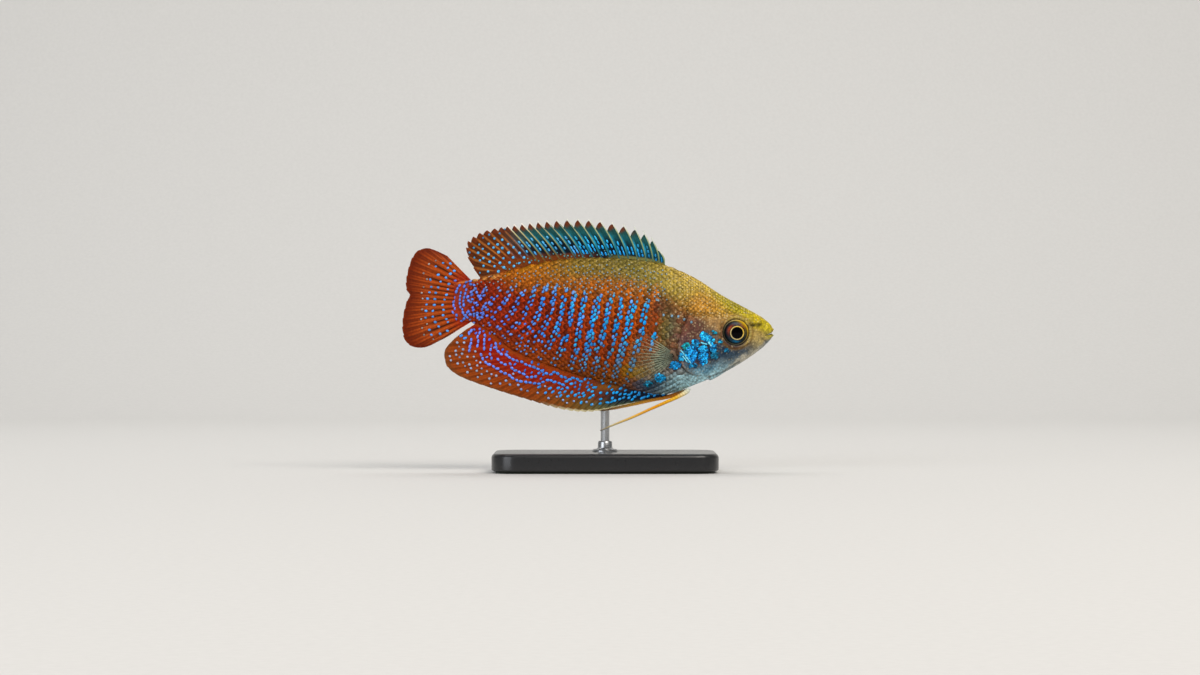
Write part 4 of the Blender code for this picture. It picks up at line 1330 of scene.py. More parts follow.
# Dorsal fin. Seventeen hard spines hold up its front two thirds, with the membrane slung
# between their tips, and ten soft, forking rays spread its rear lobe. On the model it is
# thin cast resin, tinted on both faces, with its spines laid on as fine tapering rods.
DORSAL_RAYS = 27
DORSAL_SPINES = 17
# Ray, distance of its root, distance and height of its tip
DORSAL = (
    (1, 22.3, 22.95, 14.8),
    (2, 23.3, 24.5, 17.1),
    (4, 26.0, 28.1, 19.5),
    (8, 33.4, 37.6, 21.4),
    (12, 40.5, 46.2, 21.2),
    (16, 46.7, 52.9, 20.4),
    (19, 50.3, 57.0, 19.8),
    (21, 52.3, 60.1, 18.9),
    (23, 53.9, 62.5, 17.2),
    (24, 54.6, 62.9, 15.9),
    (25, 55.2, 62.6, 13.9),
    (27, 56.3, 60.1, 9.5),
)
DORSAL_SINK = 0.7
DORSAL_NOTCH = ((1, 0.8), (2, 0.62), (4, 0.42), (8, 0.28), (14, 0.2), (18, 0.1), (27, 0.05))
DORSAL_BEND = -0.28
DORSAL_SWAY = (0.5, 0.4)
SWAY_WAVE = 26.0
RAY_STEPS, FIN_ROWS = 10, 44
FIN_HALF = 0.075
FIN_EDGE = 0.03
RIDGE = 0.075
SPINE_RADIUS, SPINE_TIP = 0.16, 0.11
SPINE_FREE = (1.0, 0.3)
DASH_HALVES = (0.6, 0.21)
FIN_DOT = 0.32
DORSAL_SEED = 41


def fin_sheet(roots, tips, columns, shares, notches, sway, bend=0.0):
    """Places of a fin's middle sheet, in columns along its base and rows to its margin."""
    along, share = np.broadcast_arrays(columns[:, None], shares[None, :])
    table = np.array(notches, float)
    deep = np.interp(along, table[:, 0], table[:, 1]) * (along % 1) ** 1.5
    reach = share * np.where(share > 0, 1 - deep * np.clip(share, 0, 1) ** 2, 1)
    root_far, root_high = roots[0][:, None], roots[1][:, None]
    distance = root_far + (tips[0][:, None] - root_far) * reach
    height = root_high + (tips[1][:, None] - root_high) * reach
    distance = distance + bend * np.sin(math.pi * np.clip(share, 0, 1))
    wave = np.sin(2 * math.pi * distance / SWAY_WAVE + sway[1])
    side = sway[0] * np.clip(share, 0, 1) ** 2.5 * wave
    return np.stack([distance, side, height], -1)


def sheet_normals(sheet):
    """The directions out of a sheet's left face."""
    normal = np.cross(np.gradient(sheet, axis=0), np.gradient(sheet, axis=1))
    normal /= np.maximum(np.linalg.norm(normal, axis=-1, keepdims=True), 1e-9)
    return normal * np.sign(normal[..., 1:2])


def ray_ridges(columns, shares, spacing, fork):
    """How far rays stand out of a fin, at columns and shares of its height, forking past one."""
    split = 0.22 * fade(fork, fork + 0.35, shares)[None, :]
    from_ray = np.abs((columns[:, None] + 0.5) % 1 - 0.5)
    rays = bell((from_ray - split) * spacing, 0.17)
    return rays * (1 - 0.4 * fade(0.3, 1.0, shares)[None, :])


def fin_piece(name, sheet, ridges, shares, material, tints):
    """A fin's two faces, closed at its margin and ends, round its middle sheet."""
    count, rows = sheet.shape[:2]
    half = FIN_HALF + (FIN_EDGE - FIN_HALF) * fade(0.2, 1.0, shares)[None, :] + RIDGE * ridges
    half[:, -1] = FIN_EDGE
    normal = sheet_normals(sheet)
    faces_of = [sheet + normal * half[..., None], sheet - normal * half[..., None]]
    points = np.concatenate([face.reshape(-1, 3) for face in faces_of])
    turned = place(points)
    size = count * rows
    u = np.linspace(0.01, 0.99, count)
    v = np.linspace(0.01, 0.48, rows)
    faces, corner_map = [], []
    for i in range(count - 1):
        for j in range(rows - 1):
            a, b = i * rows + j, (i + 1) * rows + j
            spots = [(u[i], v[j]), (u[i + 1], v[j]), (u[i + 1], v[j + 1]), (u[i], v[j + 1])]
            faces.append((a, b, b + 1, a + 1))
            corner_map += spots
            faces.append((size + a + 1, size + b + 1, size + b, size + a))
            corner_map += [(x, y + 0.5) for x, y in spots[::-1]]
    border = [i * rows for i in range(count)]
    border += [(count - 1) * rows + j for j in range(1, rows)]
    border += [i * rows + rows - 1 for i in range(count - 2, -1, -1)]
    border += [j for j in range(rows - 2, 0, -1)]
    for a, b in zip(border, border[1:] + border[:1]):
        faces.append((b, a, size + a, size + b))
        at = (u[a // rows], v[a % rows])
        corner_map += [at, at, at, at]
    corners = turned[np.array([face[:3] for face in faces])]
    normals = np.cross(corners[:, 1] - corners[:, 0], corners[:, 2] - corners[:, 0])
    left = normals[0 : 2 * (count - 1) * (rows - 1) : 2, 1].sum()
    if left < 0:
        faces = [face[::-1] for face in faces]
        corner_map = [
            spot for k in range(0, len(corner_map), 4) for spot in corner_map[k : k + 4][::-1]
        ]
    colours = np.concatenate([tints.reshape(count * rows, -1)] * 2)
    return new_piece(name, turned, faces, material, corner_map, colours, sharp=75.0)


def fin_spots(sheet, spots):
    """The fin's nearest inner grid places to spots of distance and height, as indexes."""
    flat = sheet.reshape(-1, 3)[:, [0, 2]] + 0
    inner = np.zeros(sheet.shape[:2], bool)
    inner[4:-4, 3:-3] = True
    flat[~inner.ravel()] = 1e6
    picked = []
    for far, high in spots:
        picked.append(int(np.argmin((flat[:, 0] - far) ** 2 + (flat[:, 1] - high) ** 2)))
    return np.array(picked)


def fin_beads(name, sheet, shares, material, rows):
    """Pearl spots on both faces of a fin: distance, height, lean, half sizes and colour each."""
    rows = np.array(rows)
    at = fin_spots(sheet, rows[:, :2])
    normal = sheet_normals(sheet).reshape(-1, 3)[at]
    middle = sheet.reshape(-1, 3)[at].copy()
    near = np.hypot(middle[:, 0] - rows[:, 0], middle[:, 2] - rows[:, 1]) < 0.3
    middle[near, 0], middle[near, 2] = rows[near, 0], rows[near, 1]
    half = FIN_HALF + (FIN_EDGE - FIN_HALF) * fade(0.2, 1.0, shares[at % len(shares)])
    lie = np.stack([np.cos(rows[:, 2]), 0 * rows[:, 2], np.sin(rows[:, 2])], -1)
    spots = [middle + way * normal * (half[:, None] + 0.03) for way in (1, -1)]
    out = np.concatenate([normal, -normal])
    sizes = np.stack([rows[:, 3], rows[:, 4], np.full(len(rows), 0.15)], -1)
    u = 0.01 + 0.98 * (at // len(shares)) / (len(sheet) - 1)
    v = 0.01 + 0.47 * (at % len(shares)) / (len(shares) - 1)
    maps = [np.stack([u, v], -1), np.stack([u, v + 0.5], -1)]
    return planted(
        name,
        bead_shape,
        material,
        np.concatenate(spots),
        out,
        np.concatenate([lie, lie]),
        np.concatenate([sizes, sizes]),
        np.concatenate([rows[:, 5:], rows[:, 5:]]),
        np.concatenate(maps),
    )


def strand_tree():
    """Geometry Nodes that make tapering rods along chains of edges."""
    tree = bpy.data.node_groups.new("rods_along_chains", "GeometryNodeTree")
    for name, kind in (
        ("Chains", "NodeSocketGeometry"),
        ("Finish", "NodeSocketMaterial"),
        ("Sides", "NodeSocketInt"),
    ):
        tree.interface.new_socket(name, in_out="INPUT", socket_type=kind)
    tree.interface.new_socket("Rods", in_out="OUTPUT", socket_type="NodeSocketGeometry")
    given = add(tree, "NodeGroupInput").outputs
    width = add(tree, "GeometryNodeInputNamedAttribute", {"Name": "width"}, data_type="FLOAT")
    line = add(tree, "GeometryNodeMeshToCurve", {"Mesh": given["Chains"]})
    profile = add(tree, "GeometryNodeCurvePrimitiveCircle", {"Resolution": given["Sides"]})
    profile.inputs["Radius"].default_value = 1.0
    rods = add(
        tree,
        "GeometryNodeCurveToMesh",
        {
            "Curve": line.outputs[0],
            "Profile Curve": profile.outputs[0],
            "Scale": width.outputs["Attribute"],
            "Fill Caps": True,
        },
    )
    smooth = add(tree, "GeometryNodeSetShadeSmooth", {"Geometry": rods.outputs[0]})
    real = add(tree, "GeometryNodeRealizeInstances", {"Geometry": smooth.outputs[0]})
    dressed = add(
        tree,
        "GeometryNodeSetMaterial",
        {"Geometry": real.outputs[0], "Material": given["Finish"]},
    )
    end = add(tree, "NodeGroupOutput")
    tree.links.new(dressed.outputs[0], end.inputs[0])
    return tree


STRANDS = strand_tree()


def rods(name, material, lines, widths, tints, sides=8):
    """A piece of tapering rods along lines of places, with a radius and a colour each."""
    points = np.concatenate(lines)
    edges, start = [], 0
    for line in lines:
        edges += [(start + k, start + k + 1) for k in range(len(line) - 1)]
        start += len(line)
    attributes = {"width": np.concatenate(widths) * MM, "tint": np.concatenate(tints)}
    carrier = carrier_of(name + "_lines", place(points), edges, attributes)
    return grown(name, STRANDS, carrier, ("width",), Finish=material, Sides=sides)


def fin_resin(name, streak, depth, alpha=1.0):
    """Tinted thin resin: the colour attribute, with fine streaks and a light grain."""
    material, tree, shader = new_material(
        name, Roughness=0.42, IOR=1.17, Coat_Weight=0.03, Coat_Roughness=0.2, Alpha=alpha
    )
    where = add(tree, "ShaderNodeTexCoord").outputs["Object"]
    given = add(tree, "ShaderNodeAttribute", attribute_name="tint").outputs
    tint = given["Color"]
    grain = add(
        tree,
        "ShaderNodeTexNoise",
        {"Vector": where, "Scale": 1 / (streak * MM), "Detail": 4.0, "Roughness": 0.65},
    )
    shade = add(
        tree,
        "ShaderNodeMapRange",
        {"Value": grain.outputs[0], 1: 0.3, 2: 0.7, 3: 1 - depth, 4: 1 + depth},
    )
    tinted = add(
        tree, "ShaderNodeVectorMath", {0: tint, "Scale": shade.outputs[0]}, operation="SCALE"
    )
    tree.links.new(tinted.outputs[0], shader.inputs["Base Color"])
    if alpha < 1:
        clear = add(tree, "ShaderNodeMath", {0: given["Alpha"], 1: alpha}, operation="MULTIPLY")
        tree.links.new(clear.outputs[0], shader.inputs["Alpha"])
    bump = add(
        tree, "ShaderNodeBump", {"Height": grain.outputs[0], "Strength": 0.3, "Distance": 0.03 * MM}
    )
    tree.links.new(bump.outputs[0], shader.inputs["Normal"])
    return material


def blend(tint, code, cover):
    """Colours with another laid over them by a share."""
    cover = np.clip(cover, 0, 1)[..., None]
    return tint * (1 - cover) + np.array(linear(code)) * cover


def dorsal_tint(column, share, distance, height):
    """The tinted colours of the dorsal fin."""
    column, share = np.broadcast_arrays(column[:, None], share[None, :])
    part = column % 1
    tint = ramp((0.0, 0.3, 0.65, 1.0), ("#082c34", "#0e4454", "#145054", "#24443c"), share)
    tint = blend(tint, "#040e18", 0.92 * fade(3, 7, column) * fade(0.7, 0.4, share))
    glow = bell(part - 0.9, 0.14) * bell(share - 0.45, 0.3)
    tint = blend(tint, "#1ca8d0", 0.75 * glow * fade(0, 5, column))
    streak = np.sin(part * 41 + column * 5) * np.sin(part * 23 - share * 9)
    tint = tint * (1 + 0.38 * streak)[..., None]
    rust = fade(0, 1, (distance - (49.8 - 2.5 * (1 - share))) / 7.0)
    warm = ramp((0.0, 0.5, 1.0), ("#842e08", "#6c3812", "#562c12"), share)
    warm = blend(warm, "#c0702a", 0.8 * bell(from_ray(column) * 1.0, 0.12) * fade(0.25, 0.4, share))
    warm = blend(warm, "#3c1606", 0.75 * bell(from_ray(column) - 0.36, 0.12) * fade(0.1, 0.4, share))
    tint = tint * (1 - rust[..., None]) + warm * rust[..., None]
    gap = fade(0.83, 0.93, share) * fade(0.8, 0.45, part) * fade(3.5, 6, column)
    tint = blend(tint, "#6a2c10", 0.88 * gap)
    sheath = fade(13, 18, column) * fade(0.27, 0.16, share + 0.03 * np.sin(column * 3.0))
    sheath = np.maximum(sheath, fade(8, 13, column) * fade(0.16, 0.08, share))
    tint = blend(tint, "#74380c", 0.9 * sheath)
    front = fade(9, 6, column) * fade(0.1, 0.03, share)
    return blend(tint, "#7c7c46", 0.85 * front)


def from_ray(column):
    """How far columns are from the nearest ray, in ray spacings."""
    return np.abs((column + 0.5) % 1 - 0.5)


dorsal_columns = np.linspace(1, DORSAL_RAYS, (DORSAL_RAYS - 1) * RAY_STEPS + 1)
dorsal_shares = np.linspace(-0.12, 1, FIN_ROWS)
root_far = between(DORSAL, dorsal_columns, 1)
roots = (root_far, between(BODY, root_far, 1) + 0.3)
tips = (between(DORSAL, dorsal_columns, 2), between(DORSAL, dorsal_columns, 3))
dorsal_sheet = fin_sheet(
    roots, tips, dorsal_columns, dorsal_shares, DORSAL_NOTCH, DORSAL_SWAY, DORSAL_BEND
)
ridges = ray_ridges(dorsal_columns, dorsal_shares, 1.2, 0.35)
ridges = ridges * fade(15, 18, dorsal_columns)[:, None]
tints = dorsal_tint(
    dorsal_columns, dorsal_shares, dorsal_sheet[..., 0], dorsal_sheet[..., 2]
)
# The membrane is tinted resin about a quarter of a millimetre thick, with faint streaks that
# run out along it.
membrane = fin_resin("tinted_resin_membrane", 0.45, 0.26)
dorsal = fin_piece("dorsal_membrane", dorsal_sheet, ridges, dorsal_shares, membrane, tints)
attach(dorsal, "root")
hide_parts("dorsal_fin")

# The spines are polished rods of pale olive bone colour, which whiten to their tips.
spine_resin = fin_resin("polished_resin_spines", 0.3, 0.12)
lines, widths, colours = [], [], []
for ray in range(1, DORSAL_RAYS + 1):
    column = (ray - 1) * RAY_STEPS
    line = dorsal_sheet[column].copy()
    share = np.clip(dorsal_shares, 0, 1)
    if ray <= DORSAL_SPINES:
        run = line[-1] - line[-4]
        free = SPINE_FREE[1] + (SPINE_FREE[0] - SPINE_FREE[1]) * float(fade(8, 1, ray))
        line[-1] += run / np.linalg.norm(run) * free
    if ray > DORSAL_SPINES:
        line, share = line[10:-6], share[10:-6]
    thin = 1.0 if ray <= DORSAL_SPINES else 0.55
    widths.append((SPINE_RADIUS + (SPINE_TIP - SPINE_RADIUS) * share**1.4) * thin)
    if ray <= DORSAL_SPINES:
        stops = (0.0, 0.3, 0.5, 0.8, 1.0)
        hue = ramp(stops, ("#206070", "#2a8088", "#86a072", "#b4bc8c", "#ecece0"), share)
        warm = ramp(stops, ("#6a4c1c", "#887838", "#a09c5c", "#c4bc88", "#f4ece0"), share)
        green = ramp(stops, ("#5c7450", "#7c9060", "#98a870", "#b0b890", "#dce0d4"), share)
        front = float(fade(7, 3, ray))
        hue = hue * (1 - front) + green * front
        mix = float(fade(10, 15, ray))
        hue = hue * (1 - mix) + warm * mix
    else:
        hue = ramp((0.0, 0.5, 1.0), ("#8c4a14", "#a06428", "#703a16"), share)
    lines.append(line)
    colours.append(hue)
spines = rods("dorsal_spines", spine_resin, lines, widths, colours)
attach(spines, "root")

# Dashes of pearl lie between the spines, and staggered dots on the rear lobe
random = np.random.default_rng(DORSAL_SEED)
rows = []
for column in range(1, 18):
    levels = (0.12, 0.28, 0.44) if column < 8 else (0.12, 0.26, 0.4, 0.54)
    front = float(fade(6, 1, column))
    for k, level in enumerate(levels):
        if column < 8 and k == 2 and random.random() < 0.4:
            continue
        share = level + random.normal(0, 0.02) + 0.04 * (column % 2)
        if column > 11 and share < 0.2:
            continue
        for part in (0.3, 0.7) if 3 < column < 12 and k < 2 else (0.5,):
            i = int(round((column - 1 + part) * RAY_STEPS))
            j = int(np.argmin(np.abs(dorsal_shares - share)))
            at, up = dorsal_sheet[i, j], dorsal_sheet[i, min(j + 3, FIN_ROWS - 1)]
            lean = math.atan2(up[2] - at[2], up[0] - at[0])
            hue = ramp((0.0, 0.4, 0.8), ("#1c9cf4", "#22aeec", "#3fb4c4"), np.array([share]))[0]
            hue = hue * random.uniform(0.75, 1.15)
            hue = hue * (1 - 0.4 * front)
            if column > 10:
                hue = 0.6 * hue + 0.4 * np.array(linear("#6ab0f4"))
            fainter = 1 - 0.35 * fade(0.35, 0.6, share) if column < 8 else 1.0
            long = DASH_HALVES[0] * (1.0 if column < 12 else 0.82) * fainter * (1 - 0.4 * front)
            wide = DASH_HALVES[1] * random.uniform(0.85, 1.1) * (1 - 0.2 * front)
            size = (long * random.uniform(0.75, 1.2), wide)
            rows.append((at[0], at[2], lean, *size, *hue))
for k, far in enumerate(np.arange(47.0, 63.0, 1.02)):
    for high in np.arange(10.0, 20.0, 1.9) + (k % 2) * 0.95:
        spot = (far + random.normal(0, 0.15), high + random.normal(0, 0.15))
        at = int(fin_spots(dorsal_sheet, [spot])[0])
        near = dorsal_sheet.reshape(-1, 3)[at]
        column = dorsal_columns[at // FIN_ROWS]
        share = dorsal_shares[at % FIN_ROWS]
        if math.hypot(near[0] - spot[0], near[2] - spot[1]) > 0.2 or column < 18.0:
            continue
        if not 0.02 < share < 0.93 or column > 26.7:
            continue
        hue = np.array(linear("#5ab6ee")) * (1 - 0.45 * fade(0.6, 0.95, share))
        size = FIN_DOT * random.uniform(0.85, 1.15) * (1 - 0.3 * fade(0.6, 0.95, share))
        rows.append((*spot, 0.3, size, size, *hue))
for far in np.arange(33.0, 56.0, 0.75):
    root_high = float(between(BODY, far, 1))
    rise = random.uniform(0.4, 1.7)
    hue = np.array(linear("#5f9aa0")) * random.uniform(0.7, 1.2)
    rows.append((far, root_high + rise, 1.2, 0.19, 0.17, *hue))
dorsal_spots = fin_beads("dorsal_spots", dorsal_sheet, dorsal_shares, pearl, rows)
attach(dorsal_spots, "root")


# Anal fin. Its rays fork and lie back along the whole belly, from navy at the front to deep
# red in the rear lobe, with a scalloped margin. Tinted thin resin like the dorsal fin, it
# carries chains of pearl spots that loop round under the tail stalk.
ANAL_RAYS = 31
# Ray, distance of its root, distance and height of its tip
ANAL = (
    (1, 21.6, 22.9, -14.7),
    (3, 23.5, 25.8, -15.25),
    (6, 26.7, 30.5, -16.35),
    (10, 31.7, 36.9, -17.75),
    (14, 36.7, 42.7, -17.4),
    (18, 41.6, 49.6, -15.5),
    (22, 46.2, 57.6, -13.0),
    (25, 49.3, 64.0, -10.6),
    (27, 51.2, 66.7, -8.6),
    (28, 52.7, 67.3, -6.8),
    (29, 54.6, 67.2, -5.1),
    (30, 57.4, 65.6, -3.1),
    (31, 61.2, 62.9, -0.95),
)
ANAL_NOTCH = ((1, 0.07), (14, 0.035), (20, 0.012), (31, 0.004))
ANAL_SWAY = (0.35, 2.0)
ANAL_SEED = 47
CHAIN_PITCH = 0.92
# Chains of spots that run on between their points, as distance and height
ANAL_CHAINS = (
    ((56.9, -3.8), (56.7, -4.9), (56.0, -6.0), (54.5, -6.0), (53.6, -7.1), (51.9, -7.4),
     (50.3, -8.3), (48.9, -8.7), (46.9, -9.6), (45.3, -10.2), (44.7, -9.5), (43.5, -10.5),
     (42.2, -10.9), (41.4, -11.3), (40.8, -10.7), (39.3, -11.5), (38.0, -10.9), (37.0, -10.0)),
    ((56.9, -4.6), (58.1, -5.2), (57.8, -6.1), (57.6, -6.9)),
    ((56.3, -7.1), (55.3, -8.1), (53.9, -8.1), (53.2, -9.3), (51.6, -9.7), (50.6, -10.6),
     (48.9, -10.7), (48.1, -9.9), (47.2, -9.3)),
    ((59.8, -6.1), (59.2, -7.5), (57.9, -8.2), (56.8, -8.7), (55.5, -9.6), (54.1, -10.2),
     (53.0, -11.2), (50.8, -11.7), (49.0, -12.0), (47.9, -12.0), (45.7, -11.1),
     (45.3, -11.7), (43.5, -11.9), (42.2, -12.8)),
    ((60.2, -1.6), (60.5, -2.5), (60.4, -3.3), (60.6, -4.2)),
    ((61.9, -3.0), (62.1, -4.6), (62.2, -5.3)),
    ((59.1, -2.2), (59.1, -3.1), (59.2, -4.8)),
    ((62.1, -0.6), (62.3, -1.6)),
)
# Single spots nearer the margin and along the front
ANAL_DASHES = (
    (63.9, -2.2), (63.1, -2.7), (47.9, -12.7), (45.7, -13.0), (44.0, -12.9), (45.1, -13.7),
    (43.7, -13.9), (42.6, -13.7), (41.2, -13.8), (46.6, -13.9), (43.5, -14.5), (42.0, -14.6),
    (40.5, -14.4), (38.9, -14.0), (37.7, -13.3), (36.3, -12.8), (22.4, -14.2), (24.8, -14.1),
    (26.2, -13.7), (28.2, -13.7), (29.5, -14.3), (31.3, -14.2), (26.4, -14.8), (28.3, -14.7),
    (29.5, -14.9), (31.4, -15.2), (32.9, -15.0), (35.3, -15.2), (37.5, -14.9), (27.5, -14.3),
    (30.6, -14.9), (32.4, -15.5), (33.9, -15.9), (35.4, -16.1), (37.1, -16.3), (39.3, -15.9),
    (31.2, -13.0), (30.2, -13.4), (37.8, -13.4), (38.7, -14.5), (35.3, -13.9), (34.0, -14.0),
    (36.7, -12.8), (34.8, -11.9), (33.5, -12.6), (25.3, -13.9), (26.9, -15.0), (24.2, -14.4),
    (27.4, -13.9), (23.4, -14.0),
)
ANAL_DOTS = (
    (61.0, -5.4), (61.3, -6.5), (60.6, -8.3), (58.6, -9.5), (56.7, -10.4), (54.7, -11.4),
    (52.2, -12.3), (50.3, -13.5), (48.2, -13.9), (46.0, -15.0), (43.0, -15.4), (40.8, -15.6),
    (38.2, -15.8), (37.0, -16.3), (62.6, -6.5), (62.2, -8.1), (60.7, -9.4), (58.1, -11.0),
    (55.9, -12.0), (53.9, -12.2), (51.6, -13.2), (63.7, -5.9), (63.5, -7.7), (62.6, -9.7),
    (60.5, -10.7), (57.8, -12.0), (63.3, -3.6), (63.5, -5.0), (64.9, -6.1), (64.6, -7.9),
    (64.7, -3.6), (65.0, -5.3), (66.2, -6.4), (66.7, -7.3),
)


def anal_tint(column, share, distance, height):
    """The tinted colours of the anal fin."""
    column, share = np.broadcast_arrays(column[:, None], share[None, :])
    core = ramp((20, 30, 40, 50, 66), ("#123048", "#5a4226", "#862808", "#941604", "#981c04"), distance)
    outer = ramp((20, 30, 40, 50, 66), ("#3a5048", "#4c603e", "#74501a", "#8e3e0a", "#8c3c0c"), distance)
    spread = fade(0.35, 0.8, share + 0.04 * np.sin(column * 2.1))
    tint = core * (1 - spread[..., None]) + outer * spread[..., None]
    sheath = fade(0.16, 0.04, share + 0.03 * np.sin(distance * 2.3)) * fade(34, 42, distance)
    tint = blend(tint, "#a8460a", 0.8 * sheath)
    navy = fade(38, 31, distance) * fade(0.98, 0.78, share)
    tint = blend(tint, "#04182e", 0.95 * navy)
    amber = bell(distance - 33.5, 3.2) * bell(height + 12.7, 0.7)
    tint = blend(tint, "#a8640e", 0.75 * amber)
    rays = bell(from_ray(column) - 0.2 * fade(0.35, 0.7, share), 0.1)
    tint = blend(tint, "#a84c18", 0.4 * rays * fade(38, 46, distance))
    tint = blend(tint, "#7a8a60", 0.4 * rays * fade(42, 34, distance) * fade(0.5, 0.8, share))
    gap = bell(from_ray(column) - 0.42, 0.1) * fade(0.2, 0.5, share)
    tint = tint * (1 - 0.38 * gap)[..., None]
    tint = blend(tint, "#6e4420", 0.7 * fade(0.9, 1.0, share) * fade(36, 44, distance))
    edge = fade(0.925, 0.965, share) * fade(49, 40, distance)
    return blend(tint, "#d8cca0", 0.9 * edge)


def chain_spots(line, pitch):
    """Places at an even pitch along a broken line, with the line's lean at each."""
    line = np.array(line, float)
    step = np.hypot(*np.diff(line, axis=0).T)
    along = np.concatenate([[0.0], np.cumsum(step)])
    at = np.linspace(0, along[-1], max(2, int(round(along[-1] / pitch)) + 1))
    spots = np.stack([np.interp(at, along, line[:, c]) for c in (0, 1)], -1)
    run = np.gradient(spots, axis=0)
    return spots, np.arctan2(run[:, 1], run[:, 0])


anal_columns = np.linspace(1, ANAL_RAYS, (ANAL_RAYS - 1) * RAY_STEPS + 1)
anal_shares = np.linspace(-0.12, 1, FIN_ROWS)
root_far = between(ANAL, anal_columns, 1)
roots = (root_far, between(BODY, root_far, 3) - 0.3)
tips = (between(ANAL, anal_columns, 2), between(ANAL, anal_columns, 3))
anal_sheet = fin_sheet(roots, tips, anal_columns, anal_shares, ANAL_NOTCH, ANAL_SWAY)
# The front of the fin is low, so its sunk part is deepened to reach into the belly
sunk = anal_shares < 0
depth = np.where(sunk, anal_shares / anal_shares[0], 0)[None, :]
anal_sheet[:, sunk, 2] = (roots[1][:, None] + 0.9 * depth)[:, sunk]
ridges = ray_ridges(anal_columns, anal_shares, 1.3, 0.35)
tints = anal_tint(anal_columns, anal_shares, anal_sheet[..., 0], anal_sheet[..., 2])
anal = fin_piece("anal_membrane", anal_sheet, ridges, anal_shares, membrane, tints)
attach(anal, "root")
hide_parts("anal_fin")

random = np.random.default_rng(ANAL_SEED)
rows = []


def crowded(far, high, gap):
    """Whether a spot is nearer than a gap to one that the fin already carries."""
    return any(math.hypot(row[0] - far, row[1] - high) < gap for row in rows)


def share_on(sheet, shares, far, high):
    """How far out on a fin a spot is, or -1 beside it."""
    at = int(fin_spots(sheet, [(far, high)])[0])
    near = sheet.reshape(-1, 3)[at]
    return shares[at % len(shares)] if math.hypot(near[0] - far, near[2] - high) < 0.3 else -1


for chain in ANAL_CHAINS:
    spots, leans = chain_spots(chain, CHAIN_PITCH)
    for (far, high), lean in zip(spots, leans):
        hue = ramp((38, 46, 56), ("#2c9cf0", "#468ff2", "#6c8cf2"), np.array([far]))[0]
        hue = hue * random.uniform(0.8, 1.15)
        size = (0.47 * random.uniform(0.85, 1.15), 0.3 * random.uniform(0.85, 1.1))
        far, high = far + random.normal(0, 0.06), high + random.normal(0, 0.06)
        rows.append((far, high, lean + random.normal(0, 0.2), *size, *hue))
for far, high in ANAL_DASHES:
    hue = ramp((22, 40, 50), ("#1f96e6", "#2aa6f0", "#4a98f0"), np.array([far]))[0]
    size = (0.46 * random.uniform(0.85, 1.15), 0.29 * random.uniform(0.85, 1.1))
    rows.append((far, high, random.normal(-0.6, 0.3), *size, *(hue * random.uniform(0.85, 1.15))))
for far, high in ANAL_DOTS:
    hue = np.array(linear("#8fa8d8" if far < 56 else "#a8b4d0")) * random.uniform(0.7, 1.1)
    size = 0.26 * random.uniform(0.85, 1.15)
    rows.append((far, high, 0.5, size * 1.15, size, *hue))
# The bars of the flank run on over the root of the fin
for number in np.arange(4, 15.5, 1):
    for side in (-1, 1):
        for high in np.arange(-0.4, -14.0, -0.85) - (side > 0) * 0.42:
            far = float(bar_distance(number + side * 0.19, high)) + random.normal(0, 0.08)
            share = share_on(anal_sheet, anal_shares, far, high)
            if not 0.02 < share < 0.45 or crowded(far, high, 0.64):
                continue
            hue = ramp((38, 50, 60), ("#2c86d8", "#4482ea", "#6278ee"), np.array([far]))[0]
            size = (0.38 * random.uniform(0.8, 1.15), 0.26 * random.uniform(0.85, 1.1))
            hue = hue * random.uniform(0.65, 1.05)
            rows.append((far, high, random.normal(-1.0, 0.3), *size, *hue))
# More spots fill what the chains leave bare
for k, far in enumerate(np.arange(37.0, 65.0, 0.9)):
    for high in np.arange(-0.6, -15.0, -1.0) - (k % 2) * 0.5:
        spot = (far + random.normal(0, 0.12), high + random.normal(0, 0.12))
        share = share_on(anal_sheet, anal_shares, *spot)
        front = float(fade(47, 43, spot[0]))
        if not 0.12 < share < 0.55 + 0.25 * front or crowded(*spot, 0.78 - 0.04 * front):
            continue
        hue = ramp((38, 46, 60), ("#2cacf0", "#4c90ec", "#6c8aee"), np.array([spot[0]]))[0]
        size = (0.34 * random.uniform(0.75, 1.15), 0.24 * random.uniform(0.85, 1.1))
        size = (size[0] * (1 + 0.38 * front), size[1] * (1 + 0.22 * front))
        hue = hue * (random.uniform(0.6, 1.05) + 0.2 * front)
        rows.append((*spot, random.normal(-0.4, 0.5 - 0.3 * front), *size, *hue))
# Dashes crowd the navy front, and pale dots the rear lobe
for far in np.arange(22.4, 33.0, 0.8):
    top = float(between(BODY, far, 3))
    for high in np.arange(top - 0.2, -17.0, -0.62):
        spot = (far + random.normal(0, 0.12), high + random.normal(0, 0.08) - 0.3 * (far % 1.6 > 0.8))
        share = share_on(anal_sheet, anal_shares, *spot)
        if not 0.05 < share < 0.8 or crowded(*spot, 0.6):
            continue
        hue = np.array(linear("#14a4f4")) * random.uniform(0.8, 1.3)
        size = (0.44 * random.uniform(0.8, 1.1), 0.27 * random.uniform(0.85, 1.1))
        rows.append((*spot, random.normal(-0.6, 0.2), *size, *hue))
for k, far in enumerate(np.arange(40.0, 67.0, 1.1)):
    for high in np.arange(-2.0, -17.0, -1.15) - (k % 2) * 0.57:
        spot = (far + random.normal(0, 0.12), high + random.normal(0, 0.12))
        share = share_on(anal_sheet, anal_shares, *spot)
        if not 0.45 < share < 0.82 or crowded(*spot, 0.8):
            continue
        hue = np.array(linear("#a0b4dc")) * random.uniform(0.6, 1.1)
        size = 0.23 * random.uniform(0.8, 1.15)
        rows.append((*spot, 0.5, size * 1.15, size, *hue))
anal_spots = fin_beads("anal_spots", anal_sheet, anal_shares, pearl, rows)
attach(anal_spots, "root")


